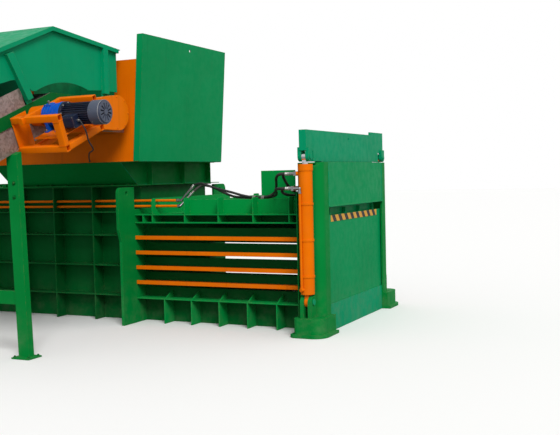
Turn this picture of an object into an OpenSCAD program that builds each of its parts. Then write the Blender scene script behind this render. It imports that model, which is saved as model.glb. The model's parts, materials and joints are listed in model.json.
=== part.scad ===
// Horizontal waste baler with a lifting end gate, side ties, a feed hopper
// and the head section of its infeed conveyor.
// X runs along the machine towards the gate, Y across it away from the
// conveyor, Z up. The origin is on the ground, on the centreline, at the
// face of the portal plate where the bale chamber starts.

/* [Press channel] */
// Inside width of the channel that the ram pushes through
channel_w = 1276; // [1200:2:1300]
// Height of the channel floor above the ground
floor_z = 250; // [240:2:260]
// Inside height of the channel
channel_h = 830; // [810:5:850]
// Thickness of the channel plates
plate_t = 12; // [10:1:14]
// Length of the bale chamber, from the portal plate to its end flange
chamber_len = 1800; // [1700:10:1900]
// Length of the feed opening under the hopper
feed_len = 1500; // [1400:10:1600]

/* [Side ties] */
// Height of the lowest tie bar above the channel floor
first_tie = 157; // [150:1:165]
// Height left between the top tie and the channel roof
top_tie_gap = 73; // [68:1:80]
// Height of each tying slot
slot_h = 50; // [40:1:56]
// Distance from the channel wall to the front of the tie bars
tie_depth = 166; // [150:1:180]
// Height of a tie bar's front flat
tie_face_h = 38; // [30:1:44]
// Thickness of a tie bar's web
tie_web_t = 10; // [8:1:12]
// Thickness of a tie bar's front flat
tie_face_t = 12; // [8:1:16]

/* [Frame plates] */
// Thickness of the ribs and flanges
rib_t = 12; // [10:1:14]
// Distance between the upright ribs of the feed box
rib_pitch = 500; // [450:10:550]
// Depth of the feed box ribs
rib_depth = 150; // [130:1:155]
// Thickness of the portal plate
portal_t = 30; // [25:1:35]
// Half the width of the portal plate at the ground
portal_half = 1050; // [1000:5:1070]
// How far the portal's upper shoulders stand out past its legs
shoulder_out = 40; // [20:5:60]
// Height of the portal plate
portal_top = 1365; // [1340:1:1375]
// Rounding of the portal's upper corners
portal_round = 60; // [40:5:80]
// Height of the feed box walls
feed_wall_top = 1380; // [1378:1:1400]
// Thickness of the tail plate
tail_t = 60; // [50:1:70]
// Height of the roof beams over the bale chamber
roof_beam_h = 138; // [120:2:150]
// Width of a roof beam
roof_beam_w = 100; // [80:5:110]

/* [Ram] */
// How far the ram goes into the chamber
ram_entry = 350; // [300:10:400]
// Distance from the ram's face to the feed opening at rest
ram_setback = 50; // [30:5:60]
// Length of the ram's body
ram_len = 1900; // [1870:10:1950]
// Thickness of the ram's face plate
ram_face_t = 60; // [50:1:70]
// Thickness of the ram's other plates
ram_wall = 16; // [12:1:20]
// Height of the wear strips under the ram
shoe_h = 12; // [8:1:16]
// Gap between the ram and the channel at the sides and top
ram_gap = 6; // [4:1:10]
// Depth of the tying grooves in the ram's face and in the gate
groove_d = 40; // [30:1:45]
// Height of the tying grooves
groove_h = 24; // [16:1:30]

/* [Main cylinder] */
// Bore of the main cylinder
main_bore = 200; // [180:1:210]
// Wall of the main cylinder's barrel
main_wall = 22; // [18:1:26]
// Diameter of the main piston rod
main_rod = 140; // [110:1:150]
// Length of the main piston
piston_len = 150; // [120:5:160]
// Length of the main cylinder's gland
gland_len = 100; // [80:5:110]

/* [Gate tower] */
// Length of the tower along the machine
tower_len = 225; // [220:1:240]
// Width of a tower post, across the machine
post_w = 180; // [172:1:188]
// Height of the tower
tower_top = 1560; // [1540:5:1600]
// Radius of the tower's rolled outer corners
tower_round = 90; // [60:5:100]
// Thickness of the tower plates
tower_t = 20; // [16:1:24]
// How far the discharge opening's edge lies past the channel wall
mouth_past = 100; // [92:1:108]
// Height of the top of the discharge opening
mouth_top = 1150; // [1130:5:1160]
// How far the gate's edges run inside the posts
gate_lap = 50; // [40:1:52]
// Gap between the gate and its guides
gate_gap = 5; // [3:1:7]
// Height of the tower's flared feet
foot_h = 170; // [140:5:180]

/* [Gate] */
// Thickness of the gate
gate_t = 180; // [170:1:182]
// Height of the gate's main panel above the channel floor
gate_h = 820; // [815:1:870]
// Height of the lift beam's top above the ground
beam_top = 1850; // [1800:5:1900]
// Thickness of the lift beam
beam_t = 70; // [60:1:80]
// How far the gate lifts
gate_lift = 850; // [800:5:860]
// Height of the black and amber strip on the gate
stripe_h = 60; // [40:1:70]

/* [Lift cylinders] */
// Outer diameter of a lift cylinder
lift_od = 125; // [110:1:128]
// Bore of a lift cylinder
lift_bore = 100; // [80:1:104]
// Diameter of a lift rod
lift_rod = 56; // [40:1:64]
// Height of the lower pin
low_pin_z = 310; // [305:1:315]
// Height of the upper pin
top_pin_z = 1612; // [1608:1:1616]
// Diameter of the lift pins
pin_d = 40; // [30:1:44]

/* [Hopper] */
// Height of the hopper's bottom edge
hopper_z = 1620; // [1610:5:1640]
// Height of the hopper's front, back and left walls
hopper_top = 2600; // [2560:10:2640]
// Height of the leaning end walls
end_wall_top = 2835; // [2780:5:2850]
// How far an end wall leans out at the top
end_lean = 85; // [60:5:100]
// How far the hopper reaches past the portal plate
hopper_reach = 250; // [230:5:260]
// Distance of the hopper's front wall from the centreline
hopper_front_y = 1050; // [1042:2:1058]
// Distance of the hopper's back wall from the centreline
hopper_back_y = 550; // [540:2:560]
// Thickness of the hopper plates
sheet_t = 8; // [6:1:10]

/* [Conveyor] */
// Inside width of the conveyor
belt_w = 1180; // [1100:10:1200]
// Position along X of the conveyor's right side plate
conveyor_x = 85; // [80:1:95]
// Distance of the head shaft from the centreline
head_y = 1290; // [1285:1:1300]
// Height of the head shaft
head_z = 2075; // [2060:1:2090]
// Length of the level part of the conveyor
level_len = 810; // [780:10:840]
// Slope of the rising part, degrees
slope = 22; // [21:0.5:23]
// Length of the rising part
rise_len = 1050; // [1000:10:1100]
// Radius of the drums
drum_r = 120; // [110:1:130]
// Thickness of the belt
belt_t = 10; // [8:1:12]
// Half the height of the conveyor's side plates
side_half = 175; // [165:1:180]
// Diameter of the drum shafts
shaft_d = 50; // [40:1:60]

/* [Drive] */
// Distance of the motor's axis from the centreline
motor_y = 2350; // [2340:5:2360]
// Height of the motor's axis
motor_z = 1994; // [1985:1:2005]
// Diameter of the motor's fan cowl
cowl_d = 200; // [190:1:210]
// Length of the motor's body
motor_len = 290; // [270:5:310]

/* [Oil lines] */
// Outer diameter of the two steel pipes
pipe_d = 25; // [20:1:28]
// Outer diameter of the hoses
hose_d = 24; // [20:1:26]

/* [Hidden] */
ch = channel_w / 2;
wall_y = ch + plate_t;
front_y = wall_y + tie_depth;
roof_z = floor_z + channel_h;
tie_pitch = (channel_h - first_tie - top_tie_gap) / 4;
tie_z = [for (i = [0:4]) floor_z + first_tie + i * tie_pitch];
slot_drop = tie_web_t / 2 + 4;
slot_z = [for (z = tie_z) z - slot_drop - slot_h / 2];
slot_end = 15;
base_rib_start = 336;
base_rib_end = 228;
base_rib_x = [for (i = [0:4]) base_rib_start + i * (chamber_len - base_rib_start - base_rib_end) / 4];
roof_rib_start = 220;
roof_rib_end = 80;
roof_rib_x = [for (i = [0:4]) roof_rib_start + i * (chamber_len - roof_rib_start - roof_rib_end) / 4];
small_divider_x = roof_rib_start / 2;
portal_x0 = -portal_t / 2;
portal_x1 = portal_t / 2;
hole_in = 100;
hole_y = portal_half - hole_in;
hole_drop = 59;
hole_d = 40;
knife_rise = 60;
ear_open_z = roof_z + knife_rise + 2;

// Places of the ram and its cylinder along X
stroke = feed_len + ram_setback + ram_entry;
ram_x = -feed_len - ram_setback;
ram_half = ch - ram_gap;
ram_low = floor_z + shoe_h;
ram_high = roof_z - ram_gap;
press_z = (ram_low + ram_high) / 2;
slide_gap = 0.3;
rod_flange_t = 40;
gland_gap = 50;
gland_x1 = ram_x - ram_face_t - rod_flange_t - gland_gap;
gland_x0 = gland_x1 - gland_len;
piston_x1 = gland_x0 - stroke - 10;
cap_t = 60;
main_r = main_bore / 2 + main_wall;
tail_x = ram_x - ram_len - 70;
main_flange_t = 50;
main_port_in = 40;
main_port_r = 30;
barrel_in = min(piston_x1 - piston_len - 10, tail_x - tail_t - main_flange_t - main_port_in - main_port_r - 10);
feed_rib_z = [257, 562, 871, 1107, feed_wall_top - rib_t];
feed_rib_x = [for (x = [-520 : -rib_pitch : tail_x + 120]) x];
rail_w = 78;
rail_h = 30;

// Places in the gate tower
end_flange_t = 12;
end_flange_top = 1300;
tower_gap = 70;
tower_x0 = chamber_len + tower_gap;
tower_x1 = tower_x0 + tower_len;
mouth_half = wall_y + mouth_past;
tower_half = mouth_half + post_w;
gland_wall = 5;
lift_clear = 2.5;
lift_y = tower_half + lift_od / 2 + gland_wall + lift_clear;
gate_x1 = tower_x1 - tower_t - 10;
gate_x0 = gate_x1 - gate_t;
gate_mid = (gate_x0 + gate_x1) / 2;
channel_x1 = gate_x0 - gate_gap;
gate_half = mouth_half + gate_lap;
web_y = gate_half + gate_gap + 1;
gate_low = floor_z + 0.5;
gate_top = floor_z + gate_h;
web_t = 12;
beam_half = lift_y + 50;
beam_low = tower_top + 8;
beam_arm_z = top_pin_z + 53;
barrel_z0 = low_pin_z + 70;
lift_gland_z1 = tower_top - 15;
lift_gland_z0 = lift_gland_z1 - 60;
ear_t = 34;
eye_t = 36;
ear_gap = 2;
lift_piston_h = 60;
port_top_z = lift_gland_z0 - 23;
port_low_z = port_top_z - 132;
foot_out = lift_y + 100;
foot_flare = 30;

// Places in the conveyor, with its own Y measured down from the head shaft
conveyor_x0 = conveyor_x - belt_w - 2 * sheet_t;
conveyor_mid = (conveyor_x + conveyor_x0) / 2;
bend_y = -head_y - level_len;
tail_y = bend_y - rise_len * cos(slope);
tail_z = head_z - rise_len * sin(slope);
guard_r = 165;
guard_end_r = 80;
hood_y0 = -3020;
hood_z0 = 2404;
hood_y1 = -1160;
hood_z1 = 2680;
peak_y = -2110;
peak_z = 2768;
guard_clear = 40;
arch_y = -1890;
arch_r = 950;
arch_z = head_z + 235 - arch_r;
hood_low = head_z + 75;
post_y = [-1400, -1330];
slant_y = [-2376, -2300];
slant_run = 314;
slant_rise = 470;
rail_low = 30;
rail_high = 135;
skirt_h = 150;
skirt_start = 325;
side_end = rise_len + 90;
guard_x0 = conveyor_x + sheet_t;
guard_x1 = conveyor_x + 110;
motor_x0 = guard_x1 + 230;
table_z = -113;
far = 5000;
bearing_r = shaft_d / 2 + 0.05;

// Places of the oil lines
pipe_y = -740;
pipe_z = [1169, 1225];
pipe_end = [480, 470];
beam_y = -front_y + 100;
beam_lane_z = roof_z + plate_t + roof_beam_h + hose_d / 2 + 0.5;
plate_end_x = roof_rib_x[4] - 20;
pipe_start = tail_x + 200;
port_x1 = gate_mid - lift_od / 2 - 18;
port_block = 24;
port_x = port_x1 - port_block - 60;
port_y = [-lift_y - 12, -lift_y + 32];
port_side = 20;
clamp_t = 5;
tube_r = 11;
elbow_drop = 46;
tube_angle = 250;
tube_reach = lift_od / 2 + clamp_t + tube_r;
tube_x = gate_mid + tube_reach * cos(tube_angle);
tube_y = -lift_y + tube_reach * sin(tube_angle);

green = [0.0, 0.50, 0.27];
orange = [0.90, 0.42, 0.02];
steel = [0.72, 0.74, 0.76];
black = [0.06, 0.06, 0.07];

// A box between two values on each axis
module span(x0, x1, y0, y1, z0, z1) {
    translate([x0, y0, z0]) cube([x1 - x0, y1 - y0, z1 - z0]);
}

// The same shape at the front and mirrored at the rear
module both_sides() {
    children();
    mirror([0, 1, 0]) children();
}

// A flat shape drawn in Y and Z, given a thickness along X
module across(x0, t) {
    translate([x0, 0, 0]) rotate([90, 0, 90]) linear_extrude(t) children();
}

// A flat shape drawn in X and Z, given a length along Y
module along_y(y0, t) {
    translate([0, y0 + t, 0]) rotate([90, 0, 0]) linear_extrude(t) children();
}

module rod_x(x0, x1, y, z, r) {
    translate([x0, y, z]) rotate([0, 90, 0]) cylinder(r = r, h = x1 - x0, $fn = 48);
}

module rod_y(x, y0, y1, z, r) {
    translate([x, y1, z]) rotate([90, 0, 0]) cylinder(r = r, h = y1 - y0, $fn = 48);
}

module rod_z(x, y, z0, z1, r) {
    translate([x, y, z0]) cylinder(r = r, h = z1 - z0, $fn = 48);
}

// A flat plate in Y and Z with its two upper corners rounded
module arched_plate(y0, y1, z0, z1, r) {
    translate([y0, z0]) square([y1 - y0, z1 - z0 - r]);
    translate([y0 + r, z1 - r - 1]) square([y1 - y0 - 2 * r, r + 1]);
    for (y = [y0 + r, y1 - r]) translate([y, z1 - r]) circle(r = r, $fn = 48);
}

// Smooth route through hand-set points, and the round tube along it
function route_point(p, i, t) =
    let (a = p[max(i - 1, 0)], b = p[i], c = p[i + 1], d = p[min(i + 2, len(p) - 1)])
    0.5 * (2 * b + (c - a) * t + (2 * a - 5 * b + 4 * c - d) * t * t + (3 * b - a - 3 * c + d) * t * t * t);
function route(p, n) = [for (i = [0 : len(p) - 2], k = [0 : n - 1]) route_point(p, i, k / n), p[len(p) - 1]];
function unit(v) = v / norm(v);
function headings(p) = [for (i = [0 : len(p) - 1]) unit(p[min(i + 1, len(p) - 1)] - p[max(i - 1, 0)])];
function normals(h, i, n) = i == len(h) ? [] :
    let (m = unit(n - (n * h[i]) * h[i])) concat([m], normals(h, i + 1, m));

module tube(points, r, n, first_normal, sides = 8) {
    p = route(points, n);
    h = headings(p);
    u = normals(h, 0, first_normal);
    last = len(p) - 1;
    rings = [for (i = [0 : last], k = [0 : sides - 1]) let (a = 360 * k / sides)
        p[i] + r * (cos(a) * u[i] + sin(a) * cross(h[i], u[i]))];
    skin = [for (i = [0 : last - 1], k = [0 : sides - 1]) let (m = (k + 1) % sides)
        [i * sides + k, (i + 1) * sides + k, (i + 1) * sides + m, i * sides + m]];
    start = [[for (k = [0 : sides - 1]) k]];
    end = [[for (k = [sides - 1 : -1 : 0]) last * sides + k]];
    polyhedron(rings, concat(skin, start, end));
}

// Plate with an ear at each side, open between the ears above the roof
module portal_plate() {
    wing = portal_half + shoulder_out;
    shoulder_z = portal_top - 415;
    round_z = portal_top - portal_round;
    color(green) across(portal_x0, portal_t) difference() {
        union() {
            polygon([[-portal_half, 0], [portal_half, 0], [portal_half, shoulder_z - 120], [wing, shoulder_z],
                [wing, round_z], [-wing, round_z], [-wing, shoulder_z], [-portal_half, shoulder_z - 120]]);
            translate([-wing + portal_round, round_z - 1]) square([2 * (wing - portal_round), portal_round + 1]);
            for (s = [-1, 1]) translate([s * (wing - portal_round), round_z]) circle(r = portal_round, $fn = 48);
        }
        translate([-ch, floor_z - plate_t]) square([2 * ch, channel_h + plate_t]);
        translate([-front_y, ear_open_z]) square([2 * front_y, portal_top]);
        for (s = [-1, 1]) translate([s * hole_y, portal_top - hole_drop]) circle(d = hole_d, $fn = 32);
    }
}

// Plate that closes the feed box above the fixed knife
module feed_end() {
    color(green) span(portal_x0 - plate_t, portal_x0, -ch, ch, roof_z + knife_rise, feed_wall_top);
}

// One ribbed side of the feed box and ram housing, drawn for the front
module ribbed_wall(pipes) {
    difference() {
        union() {
            span(tail_x, portal_x0, -wall_y, -ch, 0, feed_wall_top);
            for (z = feed_rib_z)
                span(tail_x, portal_x0, -wall_y - rib_depth, -wall_y + 1, z, z + rib_t);
            for (x = feed_rib_x)
                span(x - rib_t / 2, x + rib_t / 2, -wall_y - rib_depth, -wall_y + 1, 0, feed_wall_top);
        }
        if (pipes) for (z = pipe_z) rod_x(tail_x - 1, 1, pipe_y, z, pipe_d / 2 + 3);
    }
}

module side_wall_front() {
    color(green) ribbed_wall(true);
}

module side_wall_rear() {
    color(green) mirror([0, 1, 0]) ribbed_wall(false);
}

// Floor plate on its cross bearers and two long bearers
module channel_floor() {
    color(green) {
        span(tail_x, channel_x1, -ch, ch, floor_z - plate_t, floor_z);
        for (x = concat(feed_rib_x, base_rib_x))
            span(x - rib_t / 2, x + rib_t / 2, -ch, ch, 0, floor_z - plate_t + 1);
        for (y = [-320, 320]) {
            span(tail_x, portal_x0, y - rib_t / 2, y + rib_t / 2, 0, floor_z - plate_t + 1);
            span(portal_x1, channel_x1, y - rib_t / 2, y + rib_t / 2, 0, floor_z - plate_t + 1);
        }
    }
}

module chamber_walls() {
    color(green) both_sides() difference() {
        span(portal_x1, channel_x1, -wall_y, -ch, 0, roof_z);
        for (z = slot_z)
            span(portal_x1 + slot_end, chamber_len - slot_end, -wall_y - 1, -ch + 1, z - slot_h / 2, z + slot_h / 2);
    }
}

// Base flange with its ribs below and small gussets above
module chamber_base() {
    top = floor_z + 2;
    color(green) both_sides() {
        span(portal_x1, chamber_len, -front_y, -wall_y, top - rib_t, top);
        for (x = base_rib_x) {
            span(x - rib_t / 2, x + rib_t / 2, -front_y, -wall_y, 0, top);
            across(x - rib_t / 2, rib_t) polygon([[-wall_y, top - 1], [-wall_y, top + 65],
                [-wall_y - 20, top + 65], [-front_y + 20, top], [-front_y + 20, top - 1]]);
        }
    }
}

// Lower rail and dividers of the open ladder under the roof plate
module top_ladder() {
    color(green) both_sides() {
        span(portal_x1, chamber_len, -front_y, -wall_y, tie_z[4] - rib_t / 2, tie_z[4] + rib_t / 2);
        for (x = concat([small_divider_x], roof_rib_x))
            span(x - rib_t / 2, x + rib_t / 2, -front_y, -wall_y, tie_z[4], roof_z);
    }
}

module tie_bars() {
    color(orange) both_sides() for (i = [0:3]) {
        span(portal_x1, chamber_len, -front_y + tie_face_t - 1, -wall_y,
            tie_z[i] - tie_web_t / 2, tie_z[i] + tie_web_t / 2);
        span(portal_x1, chamber_len, -front_y, -front_y + tie_face_t,
            tie_z[i] - tie_face_h / 2, tie_z[i] + tie_face_h / 2);
    }
}

module chamber_roof() {
    color(green) {
        span(portal_x1, chamber_len, -front_y, front_y, roof_z, roof_z + plate_t);
        span(chamber_len - 1, channel_x1, -wall_y, wall_y, roof_z, roof_z + plate_t);
    }
}

// Two box beams on the roof, with round-topped gussets and cross ribs
module roof_beams() {
    z0 = roof_z + plate_t;
    x0 = roof_rib_x[1] - 30;
    x1 = roof_rib_x[4] + 30;
    gusset_h = roof_beam_h + 20;
    color(green) {
        both_sides() {
            difference() {
                span(x0, x1, beam_y, beam_y + roof_beam_w, z0, z0 + roof_beam_h);
                span(x0 - 1, x1 + 1, beam_y + 8, beam_y + roof_beam_w - 8, z0 + 8, z0 + roof_beam_h - 8);
            }
            for (i = [1:4]) across(roof_rib_x[i] - rib_t / 2, rib_t)
                arched_plate(-front_y, beam_y + 20, z0, z0 + gusset_h, 20);
        }
        span(roof_rib_x[3], plate_end_x, beam_y + roof_beam_w - 1, beam_y + roof_beam_w + rib_t, z0, port_top_z + 35);
        for (i = [1:4]) span(roof_rib_x[i] - rib_t / 2, roof_rib_x[i] + rib_t / 2,
            beam_y + roof_beam_w - 1, -beam_y - roof_beam_w + 1, z0, z0 + roof_beam_h - 10);
        across(roof_rib_x[0] - rib_t / 2, rib_t) difference() {
            arched_plate(-front_y, front_y, z0, z0 + gusset_h, 40);
            for (z = pipe_z) translate([pipe_y, z]) circle(d = pipe_d + 6, $fn = 32);
        }
    }
}

module end_flange() {
    side = front_y + 14;
    color(green) across(chamber_len, end_flange_t) difference() {
        translate([-side, 0]) square([2 * side, end_flange_top]);
        translate([-wall_y, -1]) square([2 * wall_y, roof_z + plate_t + 1]);
    }
}

module tail_plate() {
    side = wall_y + rib_depth + 20;
    color(green) {
        across(tail_x - tail_t, tail_t) difference() {
            arched_plate(-side, side, 0, feed_wall_top, 40);
            translate([0, press_z]) circle(r = main_r + 0.05, $fn = 96);
        }
        across(tail_x - tail_t - 150, 151) {
            for (z = [press_z - 290, press_z + 270]) translate([-side + 60, z]) square([2 * side - 120, 20]);
            for (y = [-310, 290]) translate([y, 60]) square([20, feed_wall_top - 120]);
        }
    }
}

module housing_roof() {
    x1 = -feed_len - 100;
    color(green) {
        span(tail_x, x1, -wall_y - rib_depth, wall_y + rib_depth, feed_wall_top, feed_wall_top + 8);
        for (x = [tail_x + 300 : 500 : x1 - 100])
            span(x - 25, x + 25, -wall_y - rib_depth + 40, wall_y + rib_depth - 40,
                feed_wall_top + 7, feed_wall_top + 40);
    }
}

// Bars inside the housing that hold the ram down
module guide_rails() {
    color(steel) both_sides()
        span(tail_x, -feed_len - 10, -ch, -ch + rail_w, ram_high + slide_gap, ram_high + rail_h);
}

knife_l = 100;
knife_t = 25;
knife_gap = 1;
module knife_block() {
    span(ram_x - knife_l, ram_x, -ram_half + 12, ram_half - 12, ram_high - knife_t, ram_high);
}

module ram() {
    rear = ram_x - ram_len;
    color(orange) difference() {
        union() {
            difference() {
                span(rear, ram_x, -ram_half, ram_half, ram_low, ram_high);
                span(rear - 1, ram_x - ram_face_t, -ram_half + ram_wall, ram_half - ram_wall,
                    ram_low + ram_wall, ram_high - ram_wall);
            }
            for (x = [rear + 300, rear + 1000]) difference() {
                span(x, x + 20, -ram_half + 1, ram_half - 1, ram_low + 1, ram_high - 1);
                rod_x(x - 1, x + 21, 0, press_z, main_r + 25);
            }
        }
        for (z = slot_z)
            span(ram_x - groove_d, ram_x + 1, -ram_half - 1, ram_half + 1, z - groove_h / 2, z + groove_h / 2);
        knife_block();
    }
}

module ram_knife() {
    color(steel) knife_block();
}

module fixed_knife() {
    color(steel) span(portal_x0 - 40, portal_x0, -ch, ch, ram_high + knife_gap, roof_z + knife_rise);
}

module ram_shoes() {
    color(steel) for (y = [-520, 0, 520])
        span(ram_x - ram_len, ram_x, y - 40, y + 40, floor_z + slide_gap, ram_low);
}

module ram_rod() {
    face = ram_x - ram_face_t;
    color(steel) {
        rod_x(piston_x1 - 1, face - rod_flange_t + 1, 0, press_z, main_rod / 2);
        rod_x(piston_x1 - piston_len, piston_x1, 0, press_z, main_bore / 2 - slide_gap);
        rod_x(face - rod_flange_t, face, 0, press_z, main_rod / 2 + 60);
    }
}

module main_cylinder() {
    color(orange) difference() {
        union() {
            rod_x(barrel_in - cap_t, gland_x0, 0, press_z, main_r);
            rod_x(tail_x - tail_t - main_flange_t, tail_x - tail_t, 0, press_z, main_r + 90);
            rod_z(barrel_in + main_port_in, 0, press_z, press_z + main_r + 25, main_port_r);
        }
        rod_x(barrel_in, gland_x0 + 1, 0, press_z, main_bore / 2);
        rod_z(barrel_in + main_port_in, 0, press_z, press_z + main_r + 26, 14);
    }
}

module main_gland() {
    color(steel) difference() {
        union() {
            rod_x(gland_x0, gland_x1, 0, press_z, main_r);
            rod_x(gland_x1 - 35, gland_x1, 0, press_z, main_r + 12);
        }
        rod_x(gland_x0 - 1, gland_x1 + 1, 0, press_z, main_rod / 2 + slide_gap);
    }
}

// Threshold that carries the closed gate
module sill() {
    x1 = tower_x1 - tower_t;
    z1 = floor_z - plate_t;
    color(green) along_y(-web_y, 2 * web_y) polygon([[channel_x1, 0], [channel_x1 + plate_t, 0],
        [channel_x1 + plate_t, z1], [x1 - plate_t, z1], [x1 - plate_t, 0], [x1, 0], [x1, floor_z],
        [channel_x1, floor_z]]);
}

// Outline of the front post with its rolled outer corner, drawn in X and Y
module post_outline(inset) {
    r = tower_round - inset;
    x1 = tower_x1 - inset;
    y1 = -tower_half + inset;
    translate([tower_x0 + inset, y1]) square([tower_len - 2 * inset - r, tower_half - web_y + web_t]);
    translate([tower_x0 + inset, y1 + r]) square([tower_len - 2 * inset, tower_half - web_y - inset - r + 1]);
    translate([x1 - r, y1 + r]) circle(r = r, $fn = 64);
}

module tower_posts() {
    cap = tower_top - 12;
    color(green) both_sides() difference() {
        union() {
            linear_extrude(tower_top) intersection() {
                post_outline(0);
                translate([tower_x0, -tower_half]) square([tower_len, tower_half - web_y]);
            }
            span(tower_x1 - tower_t, tower_x1, -web_y - 1, -mouth_half, 0, tower_top);
        }
        translate([0, 0, -1]) linear_extrude(cap + 1) intersection() {
            post_outline(tower_t);
            translate([tower_x0, -tower_half]) square([tower_len, tower_half - web_y - web_t]);
        }
        translate([tower_x0 - 1, -tower_half, tower_top - 45]) rotate([45, 0, 0])
            cube([tower_len + 2, 90, 60]);
    }
}

module end_plate() {
    color(green) {
        span(tower_x1 - tower_t, tower_x1, -mouth_half, mouth_half, mouth_top, tower_top);
        span(tower_x1 - tower_t, tower_x1 + 12, -mouth_half, mouth_half, mouth_top, mouth_top + 12);
    }
}

// Bars that guide the gate's edges on the chamber side
module gate_guides() {
    color(green) both_sides()
        span(chamber_len + end_flange_t, channel_x1, -gate_half, -gate_half + 60, 0, tower_top);
}

// Rounded foot outline, drawn in X and Y for the front post
module foot_outline(grow) {
    r = 100 + grow;
    x0 = tower_x0 - 10 - grow;
    x1 = tower_x1 + 45 + grow;
    y0 = -foot_out - grow;
    translate([x0, y0 + r]) square([x1 - x0, foot_out + grow - mouth_half - r]);
    translate([x0 + r / 2, y0]) square([x1 - x0 - 1.5 * r, r + 1]);
    translate([x1 - r, y0 + r]) circle(r = r, $fn = 48);
    translate([x0 + r / 2, y0 + r / 2]) circle(r = r / 2, $fn = 48);
    translate([x0, y0 + r / 2]) square([r / 2, r / 2 + 1]);
}

// Flared feet round the posts, with the fork ears of the lift cylinders
module tower_feet() {
    color(green) both_sides() {
        difference() {
            union() {
                linear_extrude(28) foot_outline(foot_flare);
                linear_extrude(foot_h) foot_outline(0);
            }
            translate([0, 0, -1]) linear_extrude(foot_h + 2)
                translate([tower_x0, -tower_half]) square([tower_len, tower_half - mouth_half + 1]);
            span(tower_x0 - 60, tower_x0 + 1, -tower_half, -mouth_half + 60, -1, foot_h + 1);
        }
        for (s = [-1, 1]) difference() {
            across(gate_mid + s * (eye_t / 2 + ear_gap + ear_t / 2) - ear_t / 2, ear_t)
                arched_plate(-lift_y - 62, -tower_half, foot_h - 1, low_pin_z + 55, 60);
            rod_x(gate_mid - 100, gate_mid + 100, -lift_y, low_pin_z, pin_d / 2 + 0.05);
        }
    }
}

// Box panel open at its edges, with tying grooves in its inner face
module gate() {
    skin = 20;
    neck_x = beam_t / 2;
    rib_step = (mouth_half - 150) / 1.5;
    levels = concat([gate_low], [for (i = [0:3]) tie_z[i] + 12], [gate_top]);
    color(green) {
        along_y(-gate_half, 2 * gate_half) difference() {
            translate([gate_x0, gate_low]) square([gate_t, gate_top - gate_low]);
            for (i = [0:4]) translate([gate_x0 + groove_d + skin, levels[i] + skin])
                square([gate_t - groove_d - 2 * skin, levels[i + 1] - levels[i] - 1.5 * skin]);
            for (z = slot_z) translate([gate_x0 - 1, z - groove_h / 2]) square([groove_d + 1, groove_h]);
        }
        span(gate_mid - neck_x, gate_mid + neck_x, -mouth_half + 50, mouth_half - 50, gate_top - 1, beam_low);
        for (i = [-1.5:1.5]) span(gate_mid - gate_t / 2 + 20, gate_mid + gate_t / 2 - 20,
            i * rib_step - 8, i * rib_step + 8, gate_top - 1, gate_top + 60);
    }
}

module hazard_strip() {
    color("gold") span(gate_x1, gate_x1 + 3, -mouth_half + 110, mouth_half - 110, gate_top - stripe_h, gate_top);
}

// Lift beam over the tower, with lugs for the lift rods and one raised ear
module gate_beam() {
    wall = 12;
    x0 = gate_mid - beam_t / 2;
    x1 = gate_mid + beam_t / 2;
    color(green) difference() {
        union() {
            difference() {
                union() {
                    span(x0, x1, -beam_half, beam_half, beam_arm_z, beam_top);
                    span(x0, x1, -tower_half + 40, tower_half - 40, beam_low, beam_arm_z + 1);
                }
                span(x0 + wall, x1 - wall, -tower_half + 52, tower_half - 52, beam_low + wall, beam_top - wall);
            }
            span(x1 - 20, x1, beam_half - 400, beam_half, beam_top - 1, beam_top + 30);
            both_sides() for (s = [-1, 1])
                across(gate_mid + s * (eye_t / 2 + ear_gap + ear_t / 2) - ear_t / 2, ear_t)
                    translate([-lift_y - 45, top_pin_z]) {
                        square([90, beam_arm_z + 30 - top_pin_z]);
                        translate([45, 0]) circle(r = 45, $fn = 48);
                    }
        }
        rod_x(x0 - 60, x1 + 60, -lift_y, top_pin_z, pin_d / 2 + 0.05);
        rod_x(x0 - 60, x1 + 60, lift_y, top_pin_z, pin_d / 2 + 0.05);
        rod_x(x1 - wall - 1, x1 + 1, 0, beam_top - 60, 12);
    }
}

module lift_barrels() {
    r = lift_od / 2;
    color(orange) both_sides() difference() {
        union() {
            rod_z(gate_mid, -lift_y, barrel_z0, lift_gland_z0, r);
            rod_x(gate_mid - eye_t / 2, gate_mid + eye_t / 2, -lift_y, low_pin_z, 48);
            span(gate_mid - eye_t / 2, gate_mid + eye_t / 2, -lift_y - 34, -lift_y + 34,
                low_pin_z, barrel_z0 + 10);
            rod_x(port_x1, gate_mid, -lift_y - 12, port_top_z, 19);
            translate([gate_mid, -lift_y, barrel_z0 + 45]) rotate([0, 90, tube_angle])
                cylinder(r = 17, h = tube_reach + 13, $fn = 48);
            rod_z(tube_x, tube_y, barrel_z0 + 45, barrel_z0 + 70, 15);
        }
        rod_z(gate_mid, -lift_y, barrel_z0 + 30, lift_gland_z0 + 1, lift_bore / 2);
        rod_x(gate_mid - 100, gate_mid + 100, -lift_y, low_pin_z, pin_d / 2 + 0.05);
    }
}

module lift_glands() {
    r = lift_od / 2;
    color(orange) both_sides() difference() {
        rod_z(gate_mid, -lift_y, lift_gland_z0, lift_gland_z1, r + gland_wall);
        rod_z(gate_mid, -lift_y, lift_gland_z0 - 1, lift_gland_z1 + 1, lift_rod / 2 + slide_gap);
    }
}

module lift_rods() {
    z0 = lift_gland_z0 - gate_lift - lift_piston_h - 15;
    color(steel) both_sides() difference() {
        union() {
            rod_z(gate_mid, -lift_y, z0, top_pin_z - 48, lift_rod / 2);
            span(gate_mid - eye_t / 2, gate_mid + eye_t / 2, -lift_y - 24, -lift_y + 24, top_pin_z - 49, top_pin_z);
            rod_z(gate_mid, -lift_y, z0, z0 + lift_piston_h, lift_bore / 2 - slide_gap);
            rod_x(gate_mid - eye_t / 2, gate_mid + eye_t / 2, -lift_y, top_pin_z, 40);
        }
        rod_x(gate_mid - 100, gate_mid + 100, -lift_y, top_pin_z, pin_d / 2 + 0.05);
    }
}

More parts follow.
